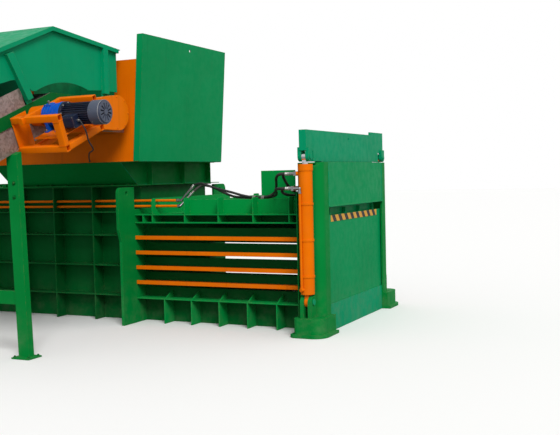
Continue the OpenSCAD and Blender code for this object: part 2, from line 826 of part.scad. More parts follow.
// Pin with a round head at its outer end
module lift_pin(y, z) {
    half = eye_t / 2 + ear_gap + ear_t;
    rod_x(gate_mid - half - 8, gate_mid + half, y, z, pin_d / 2);
    rod_x(gate_mid + half, gate_mid + half + 8, y, z, pin_d / 2 + 8);
}

module lower_pins() {
    color(steel) both_sides() lift_pin(-lift_y, low_pin_z);
}

module upper_pins() {
    color(steel) both_sides() lift_pin(-lift_y, top_pin_z);
}

// Steel tube down each lift barrel, from the lower hose to the bottom port
module barrel_tubes() {
    r = lift_od / 2;
    low_clamp = barrel_z0 + 150;
    high_clamp = port_low_z - 150;
    color(orange) both_sides() {
        for (z = [low_clamp, (low_clamp + high_clamp) / 2, high_clamp]) difference() {
            rod_z(gate_mid, -lift_y, z, z + 20, r + clamp_t);
            rod_z(gate_mid, -lift_y, z - 1, z + 21, r);
        }
        rod_z(tube_x, tube_y, barrel_z0 + 70, port_low_z - elbow_drop, tube_r);
    }
}

module oil_pipes() {
    color(orange) for (i = [0, 1]) rod_x(pipe_start, pipe_end[i], pipe_y, pipe_z[i], pipe_d / 2);
}

// Port block at the tail, and the steel ends of the pipes and hoses
module pipe_fittings() {
    color(steel) {
        span(pipe_start - 90, pipe_start, -wall_y - 120, -wall_y, pipe_z[0] - 45, pipe_z[1] + 45);
        for (e = [upper_elbow, lower_elbow]) {
            rod_between(e[0], e[0] + [16, 0, 0], 19);
            rod_between(e[0], e[1], 12);
            translate(e[1]) sphere(r = 14, $fn = 48);
            rod_between(e[1], e[2], 12);
            rod_between(e[2] - 38 * unit(e[2] - e[1]), e[2], 16);
        }
        both_sides() {
            span(port_x1 - port_block, port_x1, -lift_y - 32, -lift_y + 52, port_top_z - port_side, port_top_z + port_side);
            span(port_x1 - port_block, port_x1, tube_y - 15, -lift_y + 52, port_low_z - port_side, port_low_z + port_side);
            for (y = port_y, z = [port_top_z, port_low_z]) rod_x(port_x, port_x1 - port_block, y, z, 14);
            tube_elbow();
        }
    }
}

// Steel end of a barrel's tube, from the lower port block down to the tube
module tube_elbow() {
    rod_x(port_x1 - 1, tube_x, tube_y, port_low_z, tube_r);
    translate([tube_x, tube_y, port_low_z]) sphere(r = tube_r + 2, $fn = 48);
    rod_z(tube_x, tube_y, port_low_z - elbow_drop, port_low_z, tube_r);
    rod_z(tube_x, tube_y, port_low_z - elbow_drop, port_low_z - elbow_drop + 18, tube_r + 4);
}

// Turned bar between two points
module rod_between(a, b, r) {
    v = b - a;
    translate(a) rotate([0, acos(v[2] / norm(v)), atan2(v[1], v[0])]) cylinder(r = r, h = norm(v), $fn = 32);
}

// Bent steel ends of the two pipes: foot, bend and the end that takes the hose
upper_elbow = [[pipe_end[1], pipe_y, pipe_z[1]], [pipe_end[1] + 50, pipe_y, pipe_z[1]],
    [pipe_end[1] + 180, pipe_y, pipe_z[1] + 130]];
lower_elbow = [[pipe_end[0], pipe_y, pipe_z[0]], [pipe_end[0] + 25, pipe_y, pipe_z[0]],
    [pipe_end[0] + 110, pipe_y + 85, pipe_z[0] + 121]];

// Routes of the hoses, from the pipe ends to the lift cylinders' port blocks.
// The long hoses lie on the front roof beam and climb in front of the ports.
lane_y = [beam_y + 66, beam_y + 34];
climb_x = roof_rib_x[3];
function after(e, d) = e[2] + d * unit(e[2] - e[1]);
function before_port(i, z, d) = [port_x - d, port_y[i], z];
upper_route = [upper_elbow[2], after(upper_elbow, 14), after(upper_elbow, 28), [745, pipe_y + 2, 1388],
    [810, pipe_y + 5, 1370], [930, pipe_y + 18, 1332], [1068, lane_y[1] - 23, 1296],
    [1180, lane_y[1] - 8, 1264], [1290, lane_y[1], beam_lane_z + 2], [climb_x, lane_y[1], beam_lane_z + 1],
    [climb_x + 100, lane_y[1], beam_lane_z + 10], [port_x - 280, -lift_y + 285, 1290],
    [port_x - 240, -lift_y + 240, 1340], [port_x - 205, -lift_y + 170, 1385],
    [port_x - 165, -lift_y + 85, port_top_z - 40], [port_x - 120, -lift_y + 20, port_top_z - 14],
    [port_x - 78, port_y[0] + 2, port_top_z - 2], before_port(0, port_top_z, 48),
    before_port(0, port_top_z, 24), before_port(0, port_top_z, 0)];
lower_route = [lower_elbow[2], after(lower_elbow, 14), after(lower_elbow, 28), [664, pipe_y + 140, 1362],
    [740, pipe_y + 142, 1362], [830, pipe_y + 130, 1338], [950, pipe_y + 110, 1290],
    [1060, lane_y[0] + 2, 1255], [1180, lane_y[0], beam_lane_z + 1], [climb_x, lane_y[0], beam_lane_z + 1],
    [climb_x + 100, lane_y[0], beam_lane_z + 2], [port_x - 285, -lift_y + 315, 1262],
    [port_x - 242, -lift_y + 250, 1284], [port_x - 210, -lift_y + 170, 1306],
    [port_x - 170, -lift_y + 85, port_low_z - 8], [port_x - 122, -lift_y + 18, port_low_z - 3],
    [port_x - 78, port_y[0] + 2, port_low_z], before_port(0, port_low_z, 48),
    before_port(0, port_low_z, 24), before_port(0, port_low_z, 0)];

// The crossing hoses pass between the last roof rib and the end flange
way_x = [chamber_len - 18, chamber_len - 58];
way_z = roof_z + plate_t + hose_d / 2 + 3;
cross_upper_half = [before_port(1, port_top_z, 0), before_port(1, port_top_z, 16), before_port(1, port_top_z, 32),
    [port_x - 72, port_y[1] + 14, port_top_z - 6], [port_x - 92, port_y[1] + 52, port_top_z - 26],
    [port_x - 100, port_y[1] + 106, port_top_z - 62], [port_x - 98, port_y[1] + 164, port_top_z - 108],
    [port_x - 78, port_y[1] + 232, port_top_z - 156], [port_x - 52, port_y[1] + 300, port_top_z - 194],
    [way_x[0] - 8, beam_y + roof_beam_w + 34, beam_lane_z - 42], [way_x[0], beam_y + roof_beam_w + 74, way_z + 30],
    [way_x[0], beam_y + roof_beam_w + 140, way_z + 4], [way_x[0], beam_y + roof_beam_w + 220, way_z], [way_x[0], -200, way_z]];
cross_lower_half = [before_port(1, port_low_z, 0), before_port(1, port_low_z, 16), before_port(1, port_low_z, 32),
    [port_x - 74, port_y[1] + 12, port_low_z - 6], [port_x - 104, port_y[1] + 44, port_low_z - 20],
    [port_x - 122, port_y[1] + 98, port_low_z - 38], [port_x - 124, port_y[1] + 160, port_low_z - 56],
    [port_x - 112, port_y[1] + 236, port_low_z - 66], [port_x - 88, port_y[1] + 302, port_low_z - 70],
    [way_x[1] + 2, beam_y + roof_beam_w + 22, beam_lane_z - 2], [way_x[1], beam_y + roof_beam_w + 64, beam_lane_z - 70],
    [way_x[1], beam_y + roof_beam_w + 130, way_z + 6], [way_x[1], beam_y + roof_beam_w + 220, way_z], [way_x[1], -200, way_z]];
function mirrored(half) = concat(half, [for (i = [len(half) - 1 : -1 : 0])
    [half[i][0], -half[i][1], half[i][2]]]);

module hose_upper() {
    color(black) tube(upper_route, hose_d / 2, 2, [0, 0, 1]);
}

module hose_lower() {
    color(black) tube(lower_route, hose_d / 2, 2, [0, 0, 1]);
}

module hose_cross_upper() {
    color(black) tube(mirrored(cross_upper_half), hose_d / 2, 2, [0, 0, 1]);
}

module hose_cross_lower() {
    color(black) tube(mirrored(cross_lower_half), hose_d / 2, 2, [0, 0, 1]);
}

// Places of the hopper walls
hopper_x0 = -feed_len - 100;
cut_side = 98;
cut_x0 = conveyor_x0 + cut_side;
cut_x1 = conveyor_x - cut_side;
cut_z = head_z - side_half - 6;

module hopper_front() {
    color(orange) along_y(-hopper_front_y - sheet_t, sheet_t) difference() {
        polygon([[hopper_x0, hopper_z], [hopper_reach, hopper_z],
            [hopper_reach + end_lean * (hopper_top - hopper_z) / (end_wall_top - hopper_z), hopper_top],
            [hopper_x0 - end_lean * (hopper_top - hopper_z) / (end_wall_top - hopper_z), hopper_top]]);
        translate([cut_x0, cut_z]) square([cut_x1 - cut_x0, hopper_top - cut_z + 1]);
    }
}

// Leaning wall with a return flange on each upright edge, drawn for the right
module leaning_wall() {
    h = end_wall_top - hopper_z;
    y0 = -hopper_front_y - 2 * sheet_t;
    along_y(-hopper_front_y - sheet_t, hopper_front_y + hopper_back_y + 2 * sheet_t)
        polygon([[0, 0], [sheet_t, 0], [end_lean + sheet_t, h], [end_lean, h]]);
    for (y = [y0, hopper_back_y + sheet_t]) along_y(y, sheet_t)
        polygon([[-60, 0], [sheet_t, 0], [end_lean + sheet_t, h], [end_lean - 60, h]]);
}

module hopper_end() {
    color(green) difference() {
        translate([hopper_reach, 0, hopper_z]) leaning_wall();
        rod_x(hopper_reach - 20, hopper_reach + 200, 190, end_wall_top - 45, 14);
    }
}

module hopper_left() {
    color(green) translate([hopper_x0, 0, hopper_z]) mirror([1, 0, 0]) leaning_wall();
}

module hopper_back() {
    lean = end_lean * (hopper_top - hopper_z) / (end_wall_top - hopper_z);
    color(green) along_y(hopper_back_y, sheet_t)
        polygon([[hopper_x0, hopper_z], [hopper_reach, hopper_z],
            [hopper_reach + lean, hopper_top], [hopper_x0 - lean, hopper_top]]);
}

// Funnel between the hopper and the feed box, with its two flange frames
module hopper_neck() {
    x1 = 10;
    z0 = feed_wall_top;
    z1 = hopper_z - sheet_t;
    back = 740;
    low = 750;
    color(green) {
        difference() {
            along_x_section(hopper_x0, x1, [[-hopper_front_y + 20, z1 + 1], [-low, z0], [back, z0], [back, z1 + 1]]);
            along_x_section(hopper_x0 + sheet_t, x1 - sheet_t, [[-hopper_front_y + 30, z1 + 2],
                [-low + 10, z0 - 1], [back - sheet_t, z0 - 1], [back - sheet_t, z1 + 2]]);
        }
        difference() {
            union() {
                span(hopper_x0 - sheet_t, hopper_reach + sheet_t, -hopper_front_y - sheet_t, hopper_back_y + sheet_t,
                    z1, hopper_z);
                span(hopper_x0 - sheet_t, x1 + 60, hopper_back_y, back, z1, hopper_z);
            }
            span(hopper_x0 + sheet_t + 20, x1 - sheet_t - 1, -hopper_front_y + 40, hopper_back_y - 10, z1 - 1, hopper_z + 1);
        }
        difference() {
            span(hopper_x0, 60, -rib_depth - wall_y - 20, 860, z0, z0 + sheet_t);
            span(-feed_len, portal_x0 - 41, -ch, ch, z0 - 1, z0 + sheet_t + 1);
        }
        for (y = [-low + 190, (back - low) / 2 + 85, back - 100])
            span(x1 - 1, 70, y - 5, y + 5, z0 + sheet_t - 1, z1 + 1);
    }
}

// A section drawn in Y and Z, run between two places along X
module along_x_section(x0, x1, points) {
    across(x0, x1 - x0) polygon(points);
}

// Moves a shape onto the rising part, where Y runs down the slope
module on_slope() {
    translate([0, bend_y, head_z]) rotate([slope, 0, 0]) children();
}

// Places in Y and Z: at the bend, and some way down the slope, at a height above the belt's line
function at_bend(u) = [bend_y - u * tan(slope / 2), head_z + u];
function down_slope(l, u) = [bend_y - l * cos(slope) - u * sin(slope), head_z - l * sin(slope) + u * cos(slope)];

// Band between two heights above the shafts' line, level and then falling away
module bent_band(low, high) {
    in_y = -hopper_front_y - sheet_t;
    polygon([[in_y, head_z + low], [in_y, head_z + high], at_bend(high), down_slope(side_end, high),
        down_slope(side_end, low), at_bend(low)]);
}

// Side plates, each with a skirt that stands up along the rising part
module conveyor_sides() {
    in_y = -hopper_front_y - sheet_t;
    top = rail_high + skirt_h;
    color([0.66, 0.62, 0.60]) for (x = [conveyor_x0, conveyor_x - sheet_t]) difference() {
        across(x, sheet_t) polygon([[in_y, head_z - side_half], [in_y, head_z + rail_high], at_bend(rail_high),
            down_slope(skirt_start, rail_high), down_slope(skirt_start, top), down_slope(side_end, top),
            down_slope(side_end, -side_half), at_bend(-side_half)]);
        rod_x(x - 1, x + sheet_t + 1, -head_y, head_z, bearing_r);
        rod_x(x - 1, x + sheet_t + 1, tail_y, tail_z, bearing_r);
    }
}

// Green rails outside the side plates, and the cross beams between the plates
module conveyor_rails() {
    inner = [conveyor_x0 + sheet_t, conveyor_x - sheet_t];
    color(green) {
        across(conveyor_x, sheet_t) bent_band(rail_low, rail_high);
        across(conveyor_x0 - sheet_t, sheet_t) bent_band(rail_low, rail_high);
        for (y = [-200, -700]) on_slope() span(inner[0], inner[1], y - 30, y + 30, -30, 30);
        span(inner[0], inner[1], -head_y - 500, -head_y - 440, head_z - 30, head_z + 30);
    }
}

// Points of an arc in Y and Z, and of the loop that the belt follows
function arc_points(c, r, a0, a1, n) =
    [for (i = [0 : n]) let (a = a0 + (a1 - a0) * i / n) c + r * [cos(a), sin(a)]];
function belt_loop(r) = concat(arc_points([-head_y, head_z], r, -90, 90, 40),
    [[bend_y - r * tan(slope / 2), head_z + r]],
    arc_points([tail_y, tail_z], r, 90 + slope, 270 + slope, 40),
    [[bend_y + r * tan(slope / 2), head_z - r]]);

// Closed loop of belt over the two drums and round the bend
module conveyor_belt() {
    inner = belt_loop(drum_r + slide_gap);
    outer = belt_loop(drum_r + slide_gap + belt_t);
    n = len(outer);
    x0 = conveyor_x0 + sheet_t + 20;
    x1 = conveyor_x - sheet_t - 20;
    color(black) across(x0, x1 - x0)
        polygon(concat(outer, inner), [[for (i = [0 : n - 1]) i], [for (i = [0 : n - 1]) n + i]]);
}

module drum(y, z, reach) {
    x0 = conveyor_x0 + sheet_t + 10;
    x1 = conveyor_x - sheet_t - 10;
    rod_x(x0, x1, y, z, drum_r);
    rod_x(conveyor_x0 - 60, conveyor_x + reach, y, z, shaft_d / 2);
}

module head_drum() {
    color(steel) {
        drum(-head_y, head_z, 40);
        rod_x(conveyor_x + 30, conveyor_x + 50, -head_y, head_z, 110);
    }
}

module tail_drum() {
    color(steel) drum(tail_y, tail_z, 60);
}

// Guard over the drive chain, round at the head shaft
module chain_guard() {
    x0 = guard_x0;
    x1 = guard_x1;
    color(orange) difference() {
        guard_body(x0, x1, guard_r);
        guard_body(x0 - 1, x1 - 4, guard_r - 4);
        rod_x(x1 - 5, x1 + 1, -motor_y, motor_z, 28);
    }
}

module guard_body(x0, x1, r) {
    head = [-head_y, head_z];
    drive = [-motor_y, motor_z];
    q = r - guard_r + guard_end_r;
    way = drive - head;
    base = atan2(way[1], way[0]);
    turn = acos((r - q) / norm(way));
    side = [for (a = [base - turn, base + turn]) [cos(a), sin(a)]];
    across(x0, x1 - x0) {
        translate(head) circle(r = r, $fn = 96);
        translate(drive) circle(r = q, $fn = 96);
        polygon([head + r * side[0], drive + q * side[0], drive + q * side[1], head + r * side[1]]);
    }
}

// Moves a shape onto the drive's tilted bracket, about the motor's axis
module on_bracket() {
    translate([0, -motor_y, motor_z]) rotate([slope, 0, 0]) children();
}

// Welded frame of square tube that carries the gearbox outside the conveyor
module motor_bracket() {
    x0 = guard_x1;
    x1 = guard_x1 + 460;
    bar = 55;
    wall = 5;
    left = -290;
    right = 200;
    high = 26;
    low = -230;
    color(orange) on_bracket() difference() {
        union() {
            span(guard_x0, x1, left, left + bar, high, high + bar);
            span(conveyor_x, x1, left, left + bar, low, low + bar);
            span(x0, x1, right, right + bar, high, high + bar);
            span(x0, x1, right, right + bar, low, low + bar);
            span(x0, x0 + 40, left - 25, right + 1, high, high + bar);
            for (x = [x0, x1 - bar]) {
                span(x, x + bar, left + 1, right + 1, low, low + bar);
                span(x, x + bar, right, right + bar, low + 1, high + bar);
            }
            span(x1 - bar, x1, left, left + bar, low + bar - 1, high + 1);
            span(guard_x0, guard_x0 + 8, left, -guard_end_r - 15, low, high + bar);
            span(x0 + 45, x1 - bar + 1, left + bar - 5, right + 5, table_z - 12, table_z);
        }
        for (z = [low, high]) span(x1 - bar - 30, x1 + 1, left + wall, left + bar - wall, z + wall, z + bar - wall);
    }
}

module gearbox() {
    x0 = guard_x1 + 45;
    x1 = motor_x0 - 25;
    color([0.05, 0.30, 0.72]) on_bracket() {
        rod_x(x0, x1, 0, 0, 92);
        rod_x(x1 - 1, motor_x0, 0, 0, 105);
        rod_x(guard_x1 - 50, x0 + 1, 0, 0, 25);
        for (x = [x0 + 15, x1 - 45]) span(x, x + 30, -90, 90, table_z, -40);
    }
}

module motor() {
    x0 = motor_x0;
    fin_h = 14;
    body_r = cowl_d / 2 - 22;
    color([0.12, 0.13, 0.26]) on_bracket() {
        rod_x(x0, x0 + 22, 0, 0, 105);
        rod_x(x0 + 21, x0 + motor_len, 0, 0, body_r);
        for (a = [0:12:348]) rotate([a, 0, 0])
            span(x0 + 21, x0 + motor_len - 15, -2, 2, body_r - 4, body_r + fin_h);
        span(x0 + 65, x0 + 185, -148, -60, -75, 25);
    }
}

module fan_cowl() {
    x0 = motor_x0 + motor_len;
    r = cowl_d / 2;
    color([0.5, 0.5, 0.58]) on_bracket() difference() {
        union() {
            rod_x(x0, x0 + 100, 0, 0, r);
            rod_x(x0 + 99, x0 + 112, 0, 0, r - 14);
        }
        for (a = [0:30:330]) rotate([a, 0, 0]) span(x0 + 96, x0 + 113, -6, 6, 24, 74);
    }
}

// Hood over the conveyor head: two sides with an arched cut-out, and a roof
module hood_side_outline() {
    difference() {
        union() {
            difference() {
                polygon([[hood_y0, hood_low], [hood_y0, hood_z0], [peak_y, peak_z], [hood_y1, hood_z1],
                    [hood_y1, hood_low + 130], [post_y[0] - 15, hood_low + 131], [slant_y[0] + 8, hood_low + 53],
                    [slant_y[0] - 124, hood_low + 140], [slant_y[0] - 244, hood_low + 120]]);
                translate([arch_y, arch_z]) circle(r = arch_r, $fn = 96);
            }
            hood_post();
            slant_post();
        }
        under_rail();
    }
}

// Posts of the hood, the upright one near the head and the slanted one
module hood_post() {
    top = peak_z - 90;
    polygon([[post_y[0], head_z], [post_y[0], top], [post_y[1], top], [post_y[1], head_z]]);
}

module slant_post() {
    low = hood_low - 150;
    polygon([[slant_y[0], low], [slant_y[0] - slant_run, low + slant_rise],
        [slant_y[1] - slant_run, low + slant_rise + 30], [slant_y[1], low]]);
}

// Everything below the top of the conveyor's rails, in Y and Z
module under_rail() {
    back = rail_high * tan(slope / 2);
    translate([bend_y - back, 0]) square([level_len + 500, head_z + rail_high]);
    translate([bend_y, head_z]) rotate(slope) translate([-far - back, -far]) square([far, far + rail_high]);
}

module hood() {
    x0 = conveyor_x0 - sheet_t;
    x1 = conveyor_x;
    out = 33;
    fall = 30;
    color(green) {
        for (x = [x0, x1]) across(x, sheet_t) hood_side_outline();
        across(x0 - out, x1 - x0 + sheet_t + 2 * out) polygon([[hood_y0 - 40, hood_z0 - 16],
            [hood_y0 - 40, hood_z0 - 8], [peak_y, peak_z + sheet_t], [hood_y1 + 20, hood_z1 + 6],
            [hood_y1 + 20, hood_z1 - 2], [peak_y, peak_z]]);
        for (x = [x0 - out, x1 + sheet_t - 1]) across(x, out + 1) {
            polygon([[hood_y0, hood_z0 - fall], [hood_y0, hood_z0 + 1], [peak_y, peak_z + 1],
                [hood_y1, hood_z1 + 1], [hood_y1, hood_z1 - fall], [peak_y, peak_z - fall]]);
            difference() {
                union() {
                    hood_post();
                    slant_post();
                }
                translate([0, guard_clear]) under_rail();
            }
        }
    }
}

// Splayed leg frame under the conveyor, cut to the slope of the side plates
module conveyor_leg() {
    y0 = -2640;
    w = 110;
    spread = 60;
    pad = 90;
    reach = belt_w / 2 + sheet_t / 2;
    leg_top = head_z - side_half - 100;
    color(green) difference() {
        union() {
            for (s = [-1, 1]) along_y(y0, 60) {
                top = conveyor_mid + s * reach;
                foot = top + s * spread;
                polygon([[foot - w / 2, 10], [foot + w / 2, 10], [top + w / 2, leg_top], [top - w / 2, leg_top]]);
            }
            along_y(y0 + 10, 40) translate([conveyor_mid - reach, 440]) square([2 * reach, 110]);
            for (s = [-1, 1]) {
                foot = conveyor_mid + s * (reach + spread);
                span(foot - pad, foot + pad, y0 - 50, y0 + 110, 0, 12);
            }
        }
        on_slope() span(-far, far, -far, far, -side_half, far);
    }
}

cable_start = [motor_x0 + 185, -motor_y - 87, motor_z - 62];
cable_route = [cable_start, cable_start + [10, 0, 0], cable_start + [20, 0, 0], [674, -2425, 1850],
    [670, -2384, 1765], [652, -2305, 1700], [420, -2050, 1680], [170, -1730, 1660], [-80, -1400, 1640],
    [-230, -1190, 1628],
    [-337, -hopper_front_y - sheet_t - 6, hopper_z + 12]];

module motor_cable() {
    color(black) tube(cable_route, 6, 2, [0, 0, 1]);
}

portal_plate();
side_wall_front();
side_wall_rear();
channel_floor();
chamber_walls();
chamber_base();
top_ladder();
tie_bars();
chamber_roof();
roof_beams();
end_flange();
tail_plate();
housing_roof();
guide_rails();
ram();
ram_knife();
fixed_knife();
feed_end();
ram_shoes();
ram_rod();
main_cylinder();
main_gland();
sill();
tower_posts();
end_plate();
gate_guides();
tower_feet();
gate();
hazard_strip();
gate_beam();
lift_barrels();
lift_glands();
lift_rods();
lower_pins();
upper_pins();
barrel_tubes();
oil_pipes();
pipe_fittings();
hose_upper();
hose_lower();
hose_cross_upper();
hose_cross_lower();
hopper_front();
hopper_end();
hopper_back();
hopper_left();
hopper_neck();
conveyor_sides();
conveyor_rails();
conveyor_belt();
head_drum();
tail_drum();
chain_guard();
motor_bracket();
gearbox();
motor();
fan_cowl();
hood();
conveyor_leg();
motor_cable();
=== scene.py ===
import bpy
import bmesh
import json
import math
import random
from mathutils import Matrix, Vector


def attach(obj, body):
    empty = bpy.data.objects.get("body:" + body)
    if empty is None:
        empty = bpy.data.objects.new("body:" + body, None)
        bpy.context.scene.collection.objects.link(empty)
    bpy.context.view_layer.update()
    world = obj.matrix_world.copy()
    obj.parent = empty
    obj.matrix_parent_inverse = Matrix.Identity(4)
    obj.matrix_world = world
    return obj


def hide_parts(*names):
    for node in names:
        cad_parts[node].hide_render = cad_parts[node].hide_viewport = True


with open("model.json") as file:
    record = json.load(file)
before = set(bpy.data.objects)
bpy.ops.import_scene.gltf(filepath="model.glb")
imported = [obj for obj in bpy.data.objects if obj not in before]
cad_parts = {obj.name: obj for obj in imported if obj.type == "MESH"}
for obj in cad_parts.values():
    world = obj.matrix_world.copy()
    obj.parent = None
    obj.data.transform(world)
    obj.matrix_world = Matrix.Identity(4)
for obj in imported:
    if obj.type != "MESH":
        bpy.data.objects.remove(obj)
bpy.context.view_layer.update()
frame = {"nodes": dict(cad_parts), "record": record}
nodes = frame["nodes"]
random.seed(7)

# The photo's camera, as fitted to the straight edges of the machine.
CAMERA_PLACE = (5.135, -8.25, 1.457)
CAMERA_RIGHT = (0.9047, 0.4254, -0.0232)
CAMERA_BACK = (0.4261, -0.9034, 0.0484)
CAMERA_LENS = 56.99
SENSOR_WIDTH = 36.0


def make_camera():
    """The camera of the photo's view."""
    cam = bpy.data.cameras.new("camera")
    cam.sensor_fit = "HORIZONTAL"
    cam.sensor_width = SENSOR_WIDTH
    cam.lens = CAMERA_LENS
    cam.clip_end = 100.0
    obj = bpy.data.objects.new("camera", cam)
    right = Vector(CAMERA_RIGHT).normalized()
    back = Vector(CAMERA_BACK).normalized()
    up = back.cross(right).normalized()
    right = up.cross(back).normalized()
    turn = Matrix((right, up, back)).transposed().to_4x4()
    obj.matrix_world = Matrix.Translation(CAMERA_PLACE) @ turn
    bpy.context.scene.collection.objects.link(obj)
    bpy.context.scene.camera = obj


# A mix node's number, vector and colour sockets share their names, so the colour ones go by place.
MIX_A, MIX_B, MIX_RESULT = 6, 7, 2


class Nodes:
    """A small builder for one material's node tree."""

    def __init__(self, name):
        self.mat = bpy.data.materials.new(name)
        self.mat.use_nodes = True
        self.tree = self.mat.node_tree
        self.tree.nodes.clear()
        self.out = self.add("ShaderNodeOutputMaterial")
        self.shader = self.add("ShaderNodeBsdfPrincipled")
        self.tree.links.new(self.shader.outputs[0], self.out.inputs[0])
        self.coords = self.add("ShaderNodeTexCoord").outputs["Object"]

    def add(self, kind, **values):
        node = self.tree.nodes.new(kind)
        for key, value in values.items():
            setattr(node, key, value)
        return node

    def link(self, a, b):
        self.tree.links.new(a, b)

    def put(self, socket, value):
        if isinstance(value, bpy.types.NodeSocket):
            self.link(value, socket)
        else:
            socket.default_value = value

    def stretch(self, scale):
        """The object's coordinates at a scale of their own along each axis."""
        node = self.add("ShaderNodeMapping")
        self.link(self.coords, node.inputs["Vector"])
        node.inputs["Scale"].default_value = scale
        return node.outputs[0]

    def noise(self, scale, detail=4.0, rough=0.55, vector=None, distort=0.0):
        node = self.add("ShaderNodeTexNoise")
        self.link(vector or self.coords, node.inputs["Vector"])
        node.inputs["Scale"].default_value = scale
        node.inputs["Detail"].default_value = detail
        node.inputs["Roughness"].default_value = rough
        node.inputs["Distortion"].default_value = distort
        return node.outputs["Fac"]

    def spangle(self, scale):
        """Cells with a grey of their own each."""
        cells = self.add("ShaderNodeTexVoronoi")
        self.link(self.coords, cells.inputs["Vector"])
        cells.inputs["Scale"].default_value = scale
        grey = self.add("ShaderNodeRGBToBW")
        self.link(cells.outputs["Color"], grey.inputs[0])
        return grey.outputs[0]

    def ramp(self, value, low, high, out_low=0.0, out_high=1.0):
        node = self.add("ShaderNodeMapRange")
        node.interpolation_type = "SMOOTHSTEP"
        self.link(value, node.inputs["Value"])
        node.inputs["From Min"].default_value = low
        node.inputs["From Max"].default_value = high
        node.inputs["To Min"].default_value = out_low
        node.inputs["To Max"].default_value = out_high
        return node.outputs[0]

    def math(self, op, a, b=None, clamp=False):
        node = self.add("ShaderNodeMath", operation=op, use_clamp=clamp)
        self.put(node.inputs[0], a)
        if b is not None:
            self.put(node.inputs[1], b)
        return node.outputs[0]

    def times(self, a, b):
        return self.math("MULTIPLY", a, b)

    def mix(self, fac, a, b):
        node = self.add("ShaderNodeMix", data_type="RGBA")
        self.put(node.inputs["Factor"], fac)
        for socket, value in ((node.inputs[MIX_A], a), (node.inputs[MIX_B], b)):
            if isinstance(value, tuple):
                value = (*value, 1.0)
            self.put(socket, value)
        return node.outputs[MIX_RESULT]

    def part(self, vector, which):
        """One of a vector's three numbers."""
        node = self.add("ShaderNodeSeparateXYZ")
        self.link(vector, node.inputs[0])
        return node.outputs[which]

    def dot(self, a, b):
        node = self.add("ShaderNodeVectorMath", operation="DOT_PRODUCT")
        self.link(a, node.inputs[0])
        self.link(b, node.inputs[1])
        return node.outputs["Value"]

    def surface(self, what):
        """The place or the direction of the surface."""
        return self.add("ShaderNodeNewGeometry").outputs[what]

    def soft_edge(self, radius):
        """The direction of the surface with its sharp edges rounded off."""
        bevel = self.add("ShaderNodeBevel", samples=4)
        bevel.inputs["Radius"].default_value = radius
        return bevel.outputs[0]

    def edges(self, radius):
        """1 near the sharp edges of the solid, 0 away from them."""
        flat = self.dot(self.soft_edge(radius), self.surface("Normal"))
        return self.ramp(self.math("SUBTRACT", 1.0, flat), 0.02, 0.12)

    def painted_inner_shade(self, centre):
        """Painted shade: high on the faces that look towards the centre, the inner faces of a hollow, in
        patches.
        """
        way = self.add("ShaderNodeVectorMath", operation="SUBTRACT")
        way.inputs[0].default_value = centre
        self.link(self.surface("Position"), way.inputs[1])
        facing = self.dot(way.outputs[0], self.surface("Normal"))
        shade_patches = self.ramp(self.noise(5.0, 6.0, 0.7), 0.25, 0.75, 0.55, 0.85)
        return self.times(self.ramp(facing, 0.02, 0.10), shade_patches)

    def bump(self, height, strength, distance, normal=None):
        node = self.add("ShaderNodeBump")
        node.inputs["Strength"].default_value = strength
        node.inputs["Distance"].default_value = distance
        self.link(height, node.inputs["Height"])
        if normal is not None:
            self.link(normal, node.inputs["Normal"])
        return node.outputs[0]

    def finish(self, colour, rough, normal, metallic=0.0, spec=0.5):
        self.link(colour, self.shader.inputs["Base Color"])
        self.link(rough, self.shader.inputs["Roughness"])
        self.link(normal, self.shader.inputs["Normal"])
        self.shader.inputs["Metallic"].default_value = metallic
        self.shader.inputs["Specular IOR Level"].default_value = spec
        return self.mat


# Colours that show through a coat or settle on it.
PRIMER = (0.09, 0.06, 0.045)
RUST = (0.30, 0.13, 0.05)
DUST = (0.26, 0.24, 0.18)
TARNISH = (0.16, 0.09, 0.05)
HOSE_DUST = (0.13, 0.12, 0.10)


def tone(colour, share, lift=0.0):
    """A share of a colour, made paler by the lift."""
    return tuple(share * c + lift for c in colour)


